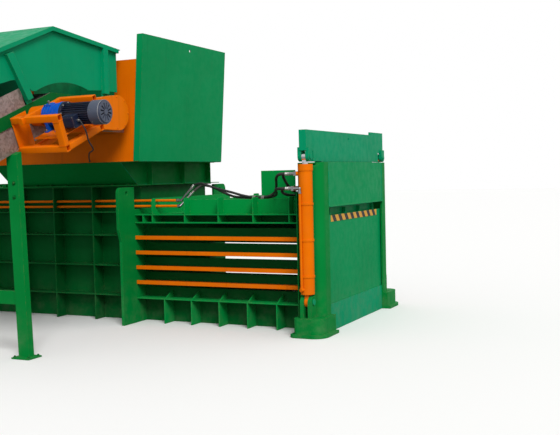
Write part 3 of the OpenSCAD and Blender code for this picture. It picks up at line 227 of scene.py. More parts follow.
def paint(name, base, dark, rough, wear, dust, streak=0.5, spec=0.06, inside=None):
    """Brushed-on machine paint, faded, streaked, chipped, dusty and wavy as sheet metal is.

    Faces that look towards the point inside, the middle of a hollow, get painted shade: they are made dark as
    if little light reached them.
    """
    n = Nodes(name)
    fade = n.ramp(n.noise(1.3, 3.0), 0.35, 0.68)
    colour = n.mix(n.times(fade, 0.55), base, dark)
    chalk = n.ramp(n.noise(6.0, 6.0, 0.6), 0.5, 0.8)
    colour = n.mix(n.times(chalk, 0.035), colour, tone(base, 0.8, 0.10))
    drips = n.ramp(n.noise(1.0, 5.0, 0.6, n.stretch((26.0, 26.0, 1.1))), 0.52, 0.78)
    colour = n.mix(n.times(drips, 0.30 * streak), colour, tone(base, 0.2, 0.008))
    patches = n.ramp(n.noise(2.6, 7.0, 0.7, distort=0.6), 0.56, 0.74)
    colour = n.mix(n.times(patches, 0.22 * streak), colour, tone(base, 0.45, 0.010))
    # worn edges and chips down to primer and rust
    breakup = n.ramp(n.noise(34.0, 6.0, 0.7), 0.47, 0.60)
    chips = n.times(n.edges(0.006), n.times(breakup, wear))
    specks = n.times(n.ramp(n.noise(75.0, 3.0, 0.6), 0.71, 0.75), n.ramp(n.noise(3.1, 3.0), 0.52, 0.70))
    worn = n.math("MAXIMUM", chips, n.times(specks, 0.8 * wear), clamp=True)
    bare = n.mix(n.ramp(n.noise(60.0, 4.0), 0.35, 0.65), PRIMER, RUST)
    colour = n.mix(worn, colour, bare)
    # painted shade, in patches, on the faces of a hollow that look inwards
    if inside:
        colour = n.mix(n.painted_inner_shade(inside), colour, tone(base, 0.12, 0.004))
    # dust settles low and on upward faces
    up = n.ramp(n.part(n.surface("Normal"), 2), 0.6, 0.95)
    low = n.ramp(n.part(n.coords, 2), 0.05, 0.55, 1.0, 0.0)
    grime = n.ramp(n.noise(9.0, 7.0, 0.7), 0.38, 0.72)
    settle = n.times(grime, n.math("MAXIMUM", n.times(up, 0.30), n.times(low, 0.45)))
    colour = n.mix(n.times(settle, dust), colour, DUST)
    # duller where worn or dusty, with waves in the sheet, a fine peel and the chips' depth
    r = n.ramp(n.noise(14.0, 5.0), 0.3, 0.7, rough - 0.09, rough + 0.12)
    r = n.math("ADD", r, n.times(n.math("MAXIMUM", worn, settle), 0.3), clamp=True)
    wave = n.bump(n.noise(3.2, 2.0), 0.30, 0.010, n.soft_edge(0.004))
    peel = n.bump(n.noise(240.0, 2.0), 0.08, 0.0012, wave)
    chip = n.bump(n.math("SUBTRACT", 1.0, worn), 0.35, 0.0008, peel)
    return n.finish(colour, r, chip, spec=spec)


def metal(name, base, rough, grime, grain=(4.0, 160.0, 160.0)):
    """Machined or drawn steel with fine lines, smudges and a little tarnish."""
    n = Nodes(name)
    lines = n.noise(1.0, 4.0, 0.6, n.stretch(grain))
    smudge = n.ramp(n.noise(11.0, 6.0, 0.65), 0.42, 0.72)
    colour = n.mix(n.times(smudge, grime), base, tone(base, 0.35))
    tarnish = n.ramp(n.noise(28.0, 5.0, 0.7), 0.60, 0.74)
    colour = n.mix(n.times(tarnish, 0.5 * grime), colour, TARNISH)
    r = n.ramp(lines, 0.3, 0.7, rough - 0.07, rough + 0.1)
    r = n.math("ADD", r, n.times(smudge, 0.15), clamp=True)
    return n.finish(colour, r, n.bump(lines, 0.08, 0.0006), metallic=1.0)


def galvanised(name):
    """Zinc-coated sheet: spangle, white bloom and drips."""
    dark, pale = (0.27, 0.215, 0.190), (0.43, 0.345, 0.310)
    white, stain = (0.50, 0.415, 0.375), (0.17, 0.105, 0.075)
    n = Nodes(name)
    spangle = n.spangle(55.0)
    colour = n.mix(n.ramp(spangle, 0.2, 0.8), dark, pale)
    bloom = n.ramp(n.noise(5.0, 7.0, 0.7, distort=0.5), 0.48, 0.72)
    colour = n.mix(n.times(bloom, 0.4), colour, white)
    drips = n.ramp(n.noise(1.0, 5.0, 0.6, n.stretch((30.0, 30.0, 1.5))), 0.54, 0.76)
    colour = n.mix(n.times(drips, 0.4), colour, stain)
    r = n.math("ADD", n.ramp(spangle, 0.2, 0.8, 0.36, 0.52), n.times(bloom, 0.2), clamp=True)
    wave = n.bump(n.noise(4.0, 2.0), 0.3, 0.01)
    return n.finish(colour, r, n.bump(spangle, 0.05, 0.0006, wave), metallic=0.55)


def rubber(name, base, rough, weave, dust):
    """Black hose or belt rubber with a fine wrapped texture and dust."""
    n = Nodes(name)
    film = n.ramp(n.noise(7.0, 6.0, 0.65), 0.44, 0.74)
    colour = n.mix(n.times(film, dust), base, HOSE_DUST)
    r = n.ramp(film, 0.0, 1.0, rough - 0.12, rough + 0.12)
    return n.finish(colour, r, n.bump(n.noise(weave, 2.0, 0.5), 0.25, 0.0006), spec=0.4)


def hazard(name):
    """Slanted black and amber bands with scuffs."""
    slant, pitch, wobble = 0.8, 0.158, 0.004
    amber, black, scuffed = (0.72, 0.36, 0.03), (0.018, 0.018, 0.018), (0.16, 0.13, 0.10)
    n = Nodes(name)
    across = n.math("ADD", n.part(n.coords, 1), n.times(n.part(n.coords, 2), slant))
    across = n.math("ADD", across, n.times(n.noise(30.0, 3.0), wobble))
    band = n.ramp(n.math("FRACT", n.times(across, 1.0 / pitch)), 0.49, 0.51)
    colour = n.mix(band, amber, black)
    scuff = n.ramp(n.noise(42.0, 6.0, 0.7), 0.56, 0.66)
    colour = n.mix(n.times(scuff, 0.6), colour, scuffed)
    return n.finish(colour, n.ramp(n.noise(20.0, 4.0), 0.3, 0.7, 0.4, 0.65), n.bump(scuff, 0.2, 0.0005))


make_camera()

# Two tones each, the full one and the faded one, where more than one paint has them.
GREEN_TONES = (0.0, 0.290, 0.092), (0.0, 0.245, 0.072)
ORANGE_TONES = (0.88, 0.185, 0.0), (0.72, 0.130, 0.0)
HOPPER_MIDDLE = (-0.7, -0.25, 2.2)

GREEN = paint("green_paint", (0.0, 0.315, 0.138), (0.0, 0.265, 0.110), 0.42, 0.45, 0.40)
GREEN_END = paint("green_paint_end", *GREEN_TONES, 0.42, 0.45, 0.40)
# Painted light and shade: three copies of the green, one brightened for nodes that shade would make too dark,
# two darker for nodes in half and in deep shade.
GREEN_LIT = paint("green_paint_lit", (0.0, 0.300, 0.058), (0.0, 0.250, 0.042), 0.44, 0.45, 0.30)
GREEN_HALF_SHADE = paint("green_paint_half_shade", (0.0, 0.235, 0.042), (0.0, 0.180, 0.028), 0.44, 0.45, 0.35, streak=0.6)
GREEN_DEEP_SHADE = paint("green_paint_deep_shade", (0.0, 0.140, 0.026), (0.0, 0.098, 0.016), 0.46, 0.50, 0.30, streak=0.8)
ORANGE = paint("orange_paint", *ORANGE_TONES, 0.42, 0.50, 0.30, streak=0.7)
# These two paints carry painted shade on the faces that look into the hopper.
HOPPER_GREEN_INNER_SHADE = paint("green_paint_hopper_inner_shade", *GREEN_TONES, 0.42, 0.45, 0.40, inside=HOPPER_MIDDLE)
HOPPER_ORANGE_INNER_SHADE = paint("orange_paint_hopper_inner_shade", *ORANGE_TONES, 0.42, 0.50, 0.30, streak=0.7,
                      inside=HOPPER_MIDDLE)
BLUE = paint("blue_paint", (0.0, 0.105, 0.62), (0.0, 0.065, 0.42), 0.36, 0.3, 0.25, streak=0.3, spec=0.3)
NAVY = paint("navy_paint", (0.012, 0.022, 0.060), (0.008, 0.012, 0.032), 0.36, 0.3, 0.25, streak=0.3, spec=0.4)
COWL = paint("cowl_paint", (0.075, 0.090, 0.135), (0.050, 0.062, 0.095), 0.36, 0.4, 0.3, streak=0.3, spec=0.4)
STEEL = metal("bare_steel", (0.42, 0.42, 0.42), 0.36, 0.5)
CHROME = metal("chromed", (0.78, 0.79, 0.80), 0.12, 0.12, grain=(120.0, 120.0, 3.0))
BOLT = metal("zinc_bolts", (0.36, 0.35, 0.33), 0.42, 0.6, grain=(60.0, 60.0, 60.0))
FITTING = metal("plated_fittings", (0.62, 0.61, 0.58), 0.28, 0.3, grain=(50.0, 50.0, 50.0))
RIM = metal("cowl_rim", (0.52, 0.52, 0.55), 0.40, 0.4, grain=(40.0, 40.0, 40.0))
ZINC = galvanised("galvanised")
HOSE = rubber("rubber_black", (0.014, 0.014, 0.015), 0.62, 520.0, 0.35)
BELT = rubber("belt_rubber", (0.020, 0.019, 0.018), 0.66, 90.0, 0.6)
HAZARD = hazard("hazard_paint")

SLOT_MATERIALS = {
    "green_paint": GREEN, "orange_paint": ORANGE, "blue_paint": BLUE, "navy_paint": NAVY,
    "cowl_paint": COWL, "bare_steel": STEEL, "chromed": CHROME, "galvanised": ZINC,
    "rubber_black": HOSE, "hazard_paint": HAZARD,
}
# Nodes with a paint of their own within their slot. The walls, floor, rails, leg, plates, neck, housing roof,
# flange, posts, feet and guides take darker greens, painted shade, the darkest with a little more wear; the
# base, ladder, chamber roof and roof beams take a brightened one, painted light; the hopper's paints have
# painted shade on their inner faces.
OWN_MATERIALS = (
    (GREEN_DEEP_SHADE, ("side_wall_front", "side_wall_rear", "chamber_walls", "channel_floor", "feed_end",
                 "conveyor_rails")),
    (GREEN_HALF_SHADE, ("conveyor_leg", "portal_plate", "tail_plate", "hopper_neck", "housing_roof",
                 "end_flange", "tower_posts", "tower_feet", "gate_guides")),
    (GREEN_LIT, ("chamber_base", "top_ladder", "chamber_roof", "roof_beams")),
    (GREEN_END, ("end_plate", "gate")),
    (GREEN, ("lower_pins", "upper_pins")),
    (HOPPER_GREEN_INNER_SHADE, ("hopper_end", "hopper_left", "hopper_back")),
    (HOPPER_ORANGE_INNER_SHADE, ("hopper_front",)),
    (BELT, ("conveyor_belt",)),
)


def dress(name, mat):
    """Gives a node of the solids its material."""
    obj = nodes[name]
    obj.data.materials.clear()
    obj.data.materials.append(mat)


for entry in frame["record"]["subparts"]:
    if entry["node"] in nodes:
        dress(entry["node"], SLOT_MATERIALS[entry["material_slot"]])
for own_material, own_nodes in OWN_MATERIALS:
    for own_node in own_nodes:
        dress(own_node, own_material)

# Routes of the hoses and the motor's cable in millimetres. Those of the cross hoses end in the
# machine's middle, where their mirror image goes on.
UPPER = [
    [650, -740, 1355], [659.9, -740, 1364.9], [669.8, -740, 1374.8], [745, -738, 1388], [810, -735, 1370],
    [930, -722, 1332], [1068, -705, 1296], [1180, -690, 1264], [1290, -682, 1244.5], [1345, -682, 1243.5],
    [1445, -682, 1252.5], [1530.5, -715, 1290], [1570.5, -760, 1340], [1605.5, -830, 1385],
    [1645.5, -915, 1422], [1690.5, -980, 1448], [1732.5, -1010, 1460], [1762.5, -1012, 1462],
    [1786.5, -1012, 1462], [1810.5, -1012, 1462],
]
LOWER = [
    [590, -655, 1290], [596.98, -648.02, 1299.93], [603.95, -641.05, 1309.86], [664, -600, 1362],
    [740, -598, 1362], [830, -610, 1338], [950, -630, 1290], [1060, -648, 1255], [1180, -650, 1243.5],
    [1345, -650, 1243.5], [1445, -650, 1244.5], [1525.5, -685, 1262], [1568.5, -750, 1284],
    [1600.5, -830, 1306], [1640.5, -915, 1322], [1688.5, -982, 1327], [1732.5, -1010, 1330],
    [1762.5, -1012, 1330], [1786.5, -1012, 1330], [1810.5, -1012, 1330],
]
CROSS_UPPER = [
    [1810.5, -968, 1462], [1794.5, -968, 1462], [1778.5, -968, 1462], [1738.5, -954, 1456],
    [1718.5, -916, 1436], [1710.5, -862, 1400], [1712.5, -804, 1354], [1732.5, -736, 1306],
    [1758.5, -668, 1268], [1774, -582, 1200.5], [1782, -542, 1137], [1782, -476, 1111],
    [1782, -396, 1107], [1782, -200, 1107],
]
CROSS_LOWER = [
    [1810.5, -968, 1330], [1794.5, -968, 1330], [1778.5, -968, 1330], [1736.5, -956, 1324],
    [1706.5, -924, 1310], [1688.5, -870, 1292], [1686.5, -808, 1274], [1698.5, -732, 1264],
    [1722.5, -666, 1260], [1744, -594, 1240.5], [1742, -552, 1172.5], [1742, -486, 1113],
    [1742, -396, 1107], [1742, -200, 1107],
]
CABLE = [
    [610, -2437, 1932], [620, -2437, 1932], [630, -2437, 1932], [674, -2425, 1850], [670, -2384, 1765],
    [652, -2305, 1700], [420, -2050, 1680], [170, -1730, 1660], [-80, -1400, 1640], [-230, -1190, 1628],
    [-337, -1064, 1632],
]
HOSE_RADIUS, CABLE_RADIUS = 0.012, 0.006
CORD_STEPS = 8


def mirrored(half):
    """A route with its mirror image on the machine's other side after it."""
    return half + [[x, -y, z] for x, y, z in reversed(half)]


HOSE_ROUTES = {
    "hose_upper": UPPER, "hose_lower": LOWER,
    "hose_cross_upper": mirrored(CROSS_UPPER), "hose_cross_lower": mirrored(CROSS_LOWER),
}


def route(points, steps):
    """The smooth line through the route's points, as the solids follow it, in metres."""
    p = [Vector(q) / 1000.0 for q in points]
    out = []
    for i in range(len(p) - 1):
        a, b, c, d = p[max(i - 1, 0)], p[i], p[i + 1], p[min(i + 2, len(p) - 1)]
        for k in range(steps):
            t = k / steps
            out.append(0.5 * (2 * b + (c - a) * t + (2 * a - 5 * b + 4 * c - d) * t ** 2
                              + (3 * b - a - 3 * c + d) * t ** 3))
    return out + [p[-1]]


def line_length(points):
    """The length of the line through the points."""
    return sum((b - a).length for a, b in zip(points, points[1:]))


def hose(name, node, points, radius):
    """A cord along a route, in the place of its solid."""
    line = route(points, CORD_STEPS)
    curve = bpy.data.curves.new(name, "CURVE")
    curve.dimensions = "3D"
    curve.bevel_depth = radius
    curve.bevel_resolution = 5
    curve.use_fill_caps = True
    spline = curve.splines.new("POLY")
    spline.points.add(len(line) - 1)
    for q, co in zip(spline.points, line):
        q.co = (*co, 1.0)
    obj = bpy.data.objects.new(name, curve)
    bpy.context.scene.collection.objects.link(obj)
    curve.materials.append(HOSE)
    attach(obj, "frame")
    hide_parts(node)


for cord_name, cord_node in (("upper_hose", "hose_upper"), ("lower_hose", "hose_lower"),
                             ("upper_cross_hose", "hose_cross_upper"),
                             ("lower_cross_hose", "hose_cross_lower")):
    hose(cord_name, cord_node, HOSE_ROUTES[cord_node], HOSE_RADIUS)
hose("motor_lead", "motor_cable", CABLE, CABLE_RADIUS)


def turned(axis):
    """Rotation that lays the local Z along an axis."""
    return Vector(axis).normalized().to_track_quat("Z", "Y").to_matrix().to_4x4()


def circle(radius, count, start=0.0):
    """Pairs of places evenly round the origin, the first one at the start angle."""
    angles = [start + 2 * math.pi * k / count for k in range(count)]
    return [(radius * math.cos(t), radius * math.sin(t)) for t in angles]


def grid(first, second):
    """Each value of the first with each of the second."""
    return [(a, b) for a in first for b in second]


def join(bm, a, b):
    """Faces between two closed rings of vertices."""
    for k in range(len(a)):
        j = (k + 1) % len(a)
        bm.faces.new((a[k], a[j], b[j], b[k]))


def loft(bm, rings):
    """A form through rings of vertices, with flat ends."""
    for a, b in zip(rings, rings[1:]):
        join(bm, a, b)
    bm.faces.new(list(reversed(rings[0])))
    bm.faces.new(rings[-1])


def lathe(bm, place, profile, sides, start=0.0):
    """A turned form from (radius, height) pairs, with flat ends."""
    loft(bm, [[bm.verts.new(place @ Vector((a, b, h))) for a, b in circle(r, sides, start)]
              for r, h in profile])


def block(bm, place, low, high, soft):
    """A box with chamfered edges between two corners."""
    part = bmesh.new()
    bmesh.ops.create_cube(part, size=1.0)
    for v in part.verts:
        v.co = Vector([low[i] + (v.co[i] + 0.5) * (high[i] - low[i]) for i in range(3)])
    bmesh.ops.bevel(part, geom=part.edges[:], offset=soft, segments=2, affect="EDGES", profile=0.6)
    part.verts.index_update()
    verts = [bm.verts.new(place @ v.co) for v in part.verts]
    for f in part.faces:
        bm.faces.new([verts[v.index] for v in f.verts])
    part.free()


# A bolt's parts for a head of radius 1, as (radius, height) pairs.
WASHER = [(1.30, 0.0), (1.30, 0.22), (1.22, 0.28)]
HEXAGON = [(1.0, 0.24), (1.0, 0.85), (0.84, 1.0)]
THREAD_END = [(0.52, 0.9), (0.52, 1.25), (0.44, 1.35)]


def sized(profile, r):
    """A profile for a head of radius r."""
    return [(a * r, h * r) for a, h in profile]


def bolt(bm, at, axis, r, thread=True):
    """Hexagon bolt with washer; r is half its width across the corners."""
    place = Matrix.Translation(at) @ turned(axis)
    lathe(bm, place, sized(WASHER, r), 20)
    lathe(bm, place, sized(HEXAGON, r), 6, random.uniform(0, 1.0))
    if thread:
        lathe(bm, place, sized(THREAD_END, r), 12)


def cap_screw(bm, at, axis, r):
    """Round-headed screw with a socket; r is the radius of its head."""
    place = Matrix.Translation(at) @ turned(axis)
    profile = [(r, -0.001), (r, 0.7 * r), (0.85 * r, 0.95 * r), (0.45 * r, 0.95 * r), (0.45 * r, 0.5 * r)]
    lathe(bm, place, profile, 14)


def swept(bm, line, ring):
    """Sweeps a ring of (side, up) offsets along a line; ring(i) gives the offsets at its point i."""
    rows = []
    side = None
    for i, q in enumerate(line):
        t = (line[min(i + 1, len(line) - 1)] - line[max(i - 1, 0)]).normalized()
        if side is None:
            side = t.cross(Vector((0, 0, 1)))
            if side.length < 0.01:
                side = Vector((1, 0, 0))
        side = (side - t * side.dot(t)).normalized()
        up = side.cross(t)
        rows.append([bm.verts.new(q + side * a + up * b) for a, b in ring(i)])
    loft(bm, rows)


def bead(bm, a, b, r=0.004):
    """A rippled weld bead between two points."""
    ripple, waver, sides = 0.010, 0.0006, 6
    a, b = Vector(a), Vector(b)
    count = max(4, int((b - a).length / ripple * 2))
    line = [a + (b - a) * (i / count) + Vector([random.uniform(-waver, waver) for _ in range(3)])
            for i in range(count + 1)]

    def ring(i):
        return circle(r * (1.12 if i % 2 else 0.88) * random.uniform(0.94, 1.06), sides)

    swept(bm, line, ring)


def folded_plate(bm, outline, x_span, h_span):
    """Bent sheet: it follows an outline in y and z, between two distances from it."""
    (x0, x1), (h0, h1) = x_span, h_span
    rows = []
    for i, (y, z) in enumerate(outline):
        a, b = Vector(outline[max(i - 1, 0)]), Vector(outline[min(i + 1, len(outline) - 1)])
        d = (b - a).normalized()
        rows.append([bm.verts.new((x, y - d.y * h, z + d.x * h))
                     for x, h in ((x0, h0), (x1, h0), (x1, h1), (x0, h1))])
    loft(bm, rows)


def piece(name, mat, bm, smooth=False):
    """Makes the finished form an object of the scene that stands still with the frame."""
    bmesh.ops.recalc_face_normals(bm, faces=bm.faces[:])
    mesh = bpy.data.meshes.new(name)
    bm.to_mesh(mesh)
    bm.free()
    mesh.materials.append(mat)
    if smooth:
        mesh.polygons.foreach_set("use_smooth", [True] * len(mesh.polygons))
        mesh.set_sharp_from_angle(angle=math.radians(40))
    obj = bpy.data.objects.new(name, mesh)
    bpy.context.scene.collection.objects.link(obj)
    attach(obj, "frame")
    return obj


# Shafts of the conveyor's head and of its drive, in y and z. The drive has a tilted frame of its
# own, with x along the motor's shaft.
HEAD_SHAFT = (-1.290, 2.075)
DRIVE_SHAFT = (-2.350, 1.994)
DRIVE_TILT = math.radians(22)
DRIVE = Matrix.Translation((0, *DRIVE_SHAFT)) @ Matrix.Rotation(DRIVE_TILT, 4, "X")


def on_drive(x, y, z):
    """A place in the drive's frame."""
    return DRIVE @ Vector((x, y, z))


def drive_way(x, y, z):
    """A direction in the drive's frame."""
    return DRIVE.to_3x3() @ Vector((x, y, z))


def along_shaft(x, y=0.0, z=0.0):
    """A seat for a turned form whose axis is parallel to the motor's shaft."""
    return DRIVE @ Matrix.Translation((x, y, z)) @ turned((1, 0, 0))


def gearbox_castings():
    """The gear case's ribs, its joint ring, the pad of its lid and its four foot lugs."""
    rib = [(0.0915, 0.0), (0.0965, 0.001), (0.0965, 0.008), (0.0915, 0.009)]
    joint = [(0.091, 0.0), (0.102, 0.001), (0.102, 0.012), (0.091, 0.013)]
    rib_start, rib_pitch, joint_x, sides = 0.262, 0.030, 0.386, 64
    pad_low, pad_high = (0.248, -0.034, 0.085), (0.318, 0.034, 0.099)
    lug, lug_low, lug_high = 0.030, -0.113, -0.099
    lug_places = grid((0.255, 0.355), (-0.118, 0.088))
    bm = bmesh.new()
    for i in range(4):
        lathe(bm, along_shaft(rib_start + rib_pitch * i), rib, sides)
    lathe(bm, along_shaft(joint_x), joint, sides)
    block(bm, DRIVE, pad_low, pad_high, 0.004)
    for x, y in lug_places:
        block(bm, DRIVE, (x, y, lug_low), (x + lug, y + lug, lug_high), 0.003)
    piece("gearbox_castings", BLUE, bm, True)


def drive_bolts():
    """Bolts round the gear case and the motor's flange, screws of the lid, breather, foot bolts."""
    case_x, case_r, flange_x, flange_r, ring_bolt = 0.399, 0.0965, 0.447, 0.093, 0.0075
    lid_top, lid_screw, foot_top, foot_bolt = 0.099, 0.0055, -0.099, 0.009
    lid_places = grid((0.262, 0.304), (-0.024, 0.024))
    foot_places = grid((0.270, 0.370), (-0.105, 0.105))
    breather_x, sunk = 0.283, 0.001
    breather = [(0.011, 0), (0.011, 0.006), (0.007, 0.008), (0.007, 0.016), (0.010, 0.017),
                (0.010, 0.026), (0.006, 0.029)]
    bm = bmesh.new()
    for c, q in circle(1.0, 8, math.radians(22.5)):
        bolt(bm, on_drive(case_x, case_r * c, case_r * q), drive_way(-1, 0, 0), ring_bolt, False)
        bolt(bm, on_drive(flange_x, flange_r * c, flange_r * q), drive_way(1, 0, 0), ring_bolt)
    for x, y in lid_places:
        cap_screw(bm, on_drive(x, y, lid_top), drive_way(0, 0, 1), lid_screw)
    lathe(bm, DRIVE @ Matrix.Translation((breather_x, 0, lid_top - sunk)), breather, 18)
    for x, y in foot_places:
        bolt(bm, on_drive(x, y, foot_top), drive_way(0, 0, 1), foot_bolt)
    piece("drive_bolts", BOLT, bm)


def motor_box_lid():
    """The two steps of the lead box's lid, and four bosses on the motor's end shield."""
    boss = [(0.010, 0), (0.010, 0.008), (0.008, 0.011)]
    boss_x, boss_r = 0.704, 0.079
    lid_low, lid_high = (0.494, -0.155, -0.071), (0.606, -0.147, 0.021)
    step_low, step_high = (0.500, -0.158, -0.065), (0.600, -0.153, 0.015)
    bm = bmesh.new()
    block(bm, DRIVE, lid_low, lid_high, 0.003)
    block(bm, DRIVE, step_low, step_high, 0.002)
    for y, z in circle(boss_r, 4, math.radians(45)):
        lathe(bm, along_shaft(boss_x, y, z), boss, 20)
    piece("motor_box_lid", NAVY, bm, True)


def motor_screws():
    """Screws of the lid and of the fan cowl, and the gland where the cable leaves."""
    lid_y, cowl_x, cowl_r, size = -0.156, 0.733, 0.1, 0.0045
    lid_places = grid((0.500, 0.600), (-0.065, 0.015))
    gland = [(0.013, 0), (0.013, 0.007), (0.0105, 0.008), (0.0105, 0.016), (0.0075, 0.020)]
    gland_place = (0.609, -2.437, 1.932)
    bm = bmesh.new()
    for x, z in lid_places:
        cap_screw(bm, on_drive(x, lid_y, z), drive_way(0, -1, 0), size)
    for c, q in circle(1.0, 6, math.radians(30)):
        cap_screw(bm, on_drive(cowl_x, cowl_r * c, cowl_r * q), drive_way(0, c, q), size)
    lathe(bm, Matrix.Translation(gland_place) @ turned((1, 0, 0)), gland, 18)
    piece("motor_screws", BOLT, bm)


def cowl_ring():
    """The pressed rim round the fan cowl's end."""
    end_x, radius, height, length = 0.8125, 0.0985, 0.0022, 0.0032
    bm = bmesh.new()
    place = along_shaft(end_x)
    section = [(radius + height * c, length * q) for c, q in circle(1.0, 8)]
    rings = [[bm.verts.new(place @ Vector((r * a, r * b, h))) for r, h in section]
             for a, b in circle(1.0, 72)]
    for a, b in zip(rings, rings[1:] + rings[:1]):
        join(bm, a, b)
    piece("cowl_ring", RIM, bm, True)


def guard_bolts():
    """Screws round the edge of the chain guard's cover: its two round ends, then its straight sides."""
    face, size = 0.1945, 0.0065
    head_r, drive_r, narrowing = 0.150, 0.066, 0.085
    bm = bmesh.new()
    ends = ((HEAD_SHAFT, head_r, (-150, -100, -50, 0, 50, 100)), (DRIVE_SHAFT, drive_r, (110, 170, 230)))
    for (y, z), r, angles in ends:
        for t in map(math.radians, angles):
            bolt(bm, (face, y + r * math.cos(t), z + r * math.sin(t)), (1, 0, 0), size, False)
    for f in (0.3, 0.62):
        y, z = (a + f * (b - a) for a, b in zip(HEAD_SHAFT, DRIVE_SHAFT))
        for up in (1, -1):
            bolt(bm, (face, y, z + up * (head_r - f * narrowing)), (1, 0, 0), size, False)
    piece("guard_bolts", ORANGE, bm)


def square_tube(bm, place, low, high, along, wall=0.0):
    """Square tube along one local axis; a wall gives it an open far end."""
    corner, inner_corner, chamfer, lip, depth = 0.006, 0.002, 0.0015, 0.001, 0.07
    first, last = low[along], high[along]
    across = (along + 1) % 3, (along + 2) % 3

    def section(inset, at):
        """A ring of vertices with round corners, at one place along the tube."""
        ring = []
        r = max(corner - inset, inner_corner)
        (a0, a1), (b0, b1) = [(low[i] + inset + r, high[i] - inset - r) for i in across]
        for a, b, start in ((a1, b1, 0), (a0, b1, 90), (a0, b0, 180), (a1, b0, 270)):
            for k in range(4):
                t = math.radians(start + 30 * k)
                v = Vector((0, 0, 0))
                v[along] = at
                v[across[0]] = a + r * math.cos(t)
                v[across[1]] = b + r * math.sin(t)
                ring.append(bm.verts.new(place @ v))
        return ring

    rings = [section(chamfer, first), section(0.0, first + chamfer), section(0.0, last - lip)]
    if wall:
        rings += [section(lip, last), section(wall, last), section(wall, last - depth)]
    else:
        rings += [section(chamfer, last)]
    loft(bm, rings)


# The drive frame's corners in the drive's frame, the width of its bars and of its outer posts, the
# bed plate's place, and how far its parts are let into each other.
FRAME_IN, FRAME_OUT = 0.195, 0.572
FRAME_LEFT, FRAME_RIGHT, FRAME_LOW, FRAME_HIGH = -0.290, 0.200, -0.230, 0.026
BAR, POST = 0.055, 0.066
POST_IN = FRAME_OUT - POST
BED_IN, BED_LOW, BED_HIGH = FRAME_IN + 0.045, -0.125, -0.113
LAP = 0.001


def drive_frame():
    """The drive's welded frame of square tube: its outer end reaches as far as the photo shows."""
    left, right, low, high = FRAME_LEFT, FRAME_RIGHT, FRAME_LOW, FRAME_HIGH
    plate_in, plate_out, plate_right, rail_in = 0.093, 0.101, -0.095, 0.085
    overhang, cross_width, bed_edge, wall = 0.025, 0.04, 0.005, 0.005
    bm = bmesh.new()
    # four rails along the shaft, open at their outer ends, and a cross bar between the upper ones
    for y, z, start in ((left, high, plate_in), (left, low, rail_in), (right, high, FRAME_IN),
                        (right, low, FRAME_IN)):
        square_tube(bm, DRIVE, (start, y, z), (FRAME_OUT, y + BAR, z + BAR), 0, wall)
    square_tube(bm, DRIVE, (FRAME_IN, left - overhang, high), (FRAME_IN + cross_width, right, high + BAR), 1)
    # at both ends a low cross bar with the right-hand post on it, then the outer left-hand post
    for x, w in ((FRAME_IN, BAR), (POST_IN, POST)):
        square_tube(bm, DRIVE, (x + LAP, left + BAR - LAP, low + LAP),
                    (x + w - LAP, right + LAP, low + BAR - LAP), 1)
        square_tube(bm, DRIVE, (x + LAP, right + LAP, low + BAR - LAP),
                    (x + w - LAP, right + BAR - LAP, high + LAP), 2)
    square_tube(bm, DRIVE, (POST_IN, left + LAP / 2, low + BAR - LAP),
                (FRAME_OUT - LAP / 2, left + BAR - LAP / 2, high + LAP), 2)
    # the plate that joins the left-hand rails at the conveyor, and the bed under the gearbox
    block(bm, DRIVE, (plate_in, left, low), (plate_out, plate_right, high + BAR), 0.002)
    block(bm, DRIVE, (BED_IN, left + BAR - bed_edge, BED_LOW),
          (POST_IN + LAP, right + bed_edge, BED_HIGH), 0.002)
    obj = piece("drive_frame", ORANGE, bm, True)
    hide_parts("motor_bracket")


def drive_frame_welds():
    """Seams at the ends of the outer left-hand post and along both edges of the bed."""
    post_y, bed_z, inset = FRAME_LEFT - LAP, BED_HIGH + 0.0015, 0.0005
    bm = bmesh.new()
    for z in (FRAME_LOW + BAR, FRAME_HIGH):
        bead(bm, on_drive(POST_IN, post_y, z), on_drive(FRAME_OUT, post_y, z), 0.0032)
    for y in (FRAME_LEFT + BAR - inset, FRAME_RIGHT - inset):
        bead(bm, on_drive(BED_IN + LAP, y, bed_z), on_drive(POST_IN, y, bed_z), 0.0035)
    piece("drive_frame_welds", ORANGE, bm, True)


def hopper_end_wall():
    """The hopper's leaning wall on the gate side, with its hole where the photo shows it."""
    foot_x, lean, bottom, top = 0.250, 0.085, 1.620, 2.835
    front, back, thick = -1.058, 0.558, 0.008
    hole_y, hole_z, hole_r, hole_sides = -0.190, 2.765, 0.014, 28
    flange, lap = 0.060, 0.0005

    def leaning(x, y, z):
        """A point of the wall: x counts from its inner face, which leans out with its height."""
        return foot_x + lean * (z - bottom) / (top - bottom) + x, y, z

    bm = bmesh.new()
    faces = []
    for x in (0.0, thick):
        outer = [bm.verts.new(leaning(x, y, z))
                 for y, z in ((front, bottom), (back, bottom), (back, top), (front, top))]
        inner = [bm.verts.new(leaning(x, hole_y + a, hole_z + b)) for a, b in circle(hole_r, hole_sides)]
        edges = [bm.edges.new(ends) for loop in (outer, inner) for ends in zip(loop, loop[1:] + loop[:1])]
        bmesh.ops.triangle_fill(bm, edges=edges, use_beauty=True)
        faces.append((outer, inner))
    for a, b in zip(*faces):
        join(bm, a, b)
    # return flanges on the two upright edges
    for span in ((front - thick, front + lap), (back - lap, back + thick)):
        corners = ((-flange, bottom), (thick, bottom), (thick, top), (-flange, top))
        loft(bm, [[bm.verts.new(leaning(x, y, z)) for x, z in corners] for y in span])
    obj = piece("hopper_end_wall", HOPPER_GREEN_INNER_SHADE, bm)
    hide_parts("hopper_end")


def hopper_lip():
    """Folded plate that closes the cut-out below the conveyor's head."""
    outline = [(-1.047, 1.864), (-1.047, 2.165), (-1.043, 2.178), (-1.032, 2.186), (-0.985, 2.196)]
    x_span, half_thick = (-1.043, 0.017), 0.003
    bm = bmesh.new()
    folded_plate(bm, outline, x_span, (-half_thick, half_thick))
    piece("hopper_lip", HOPPER_ORANGE_INNER_SHADE, bm)


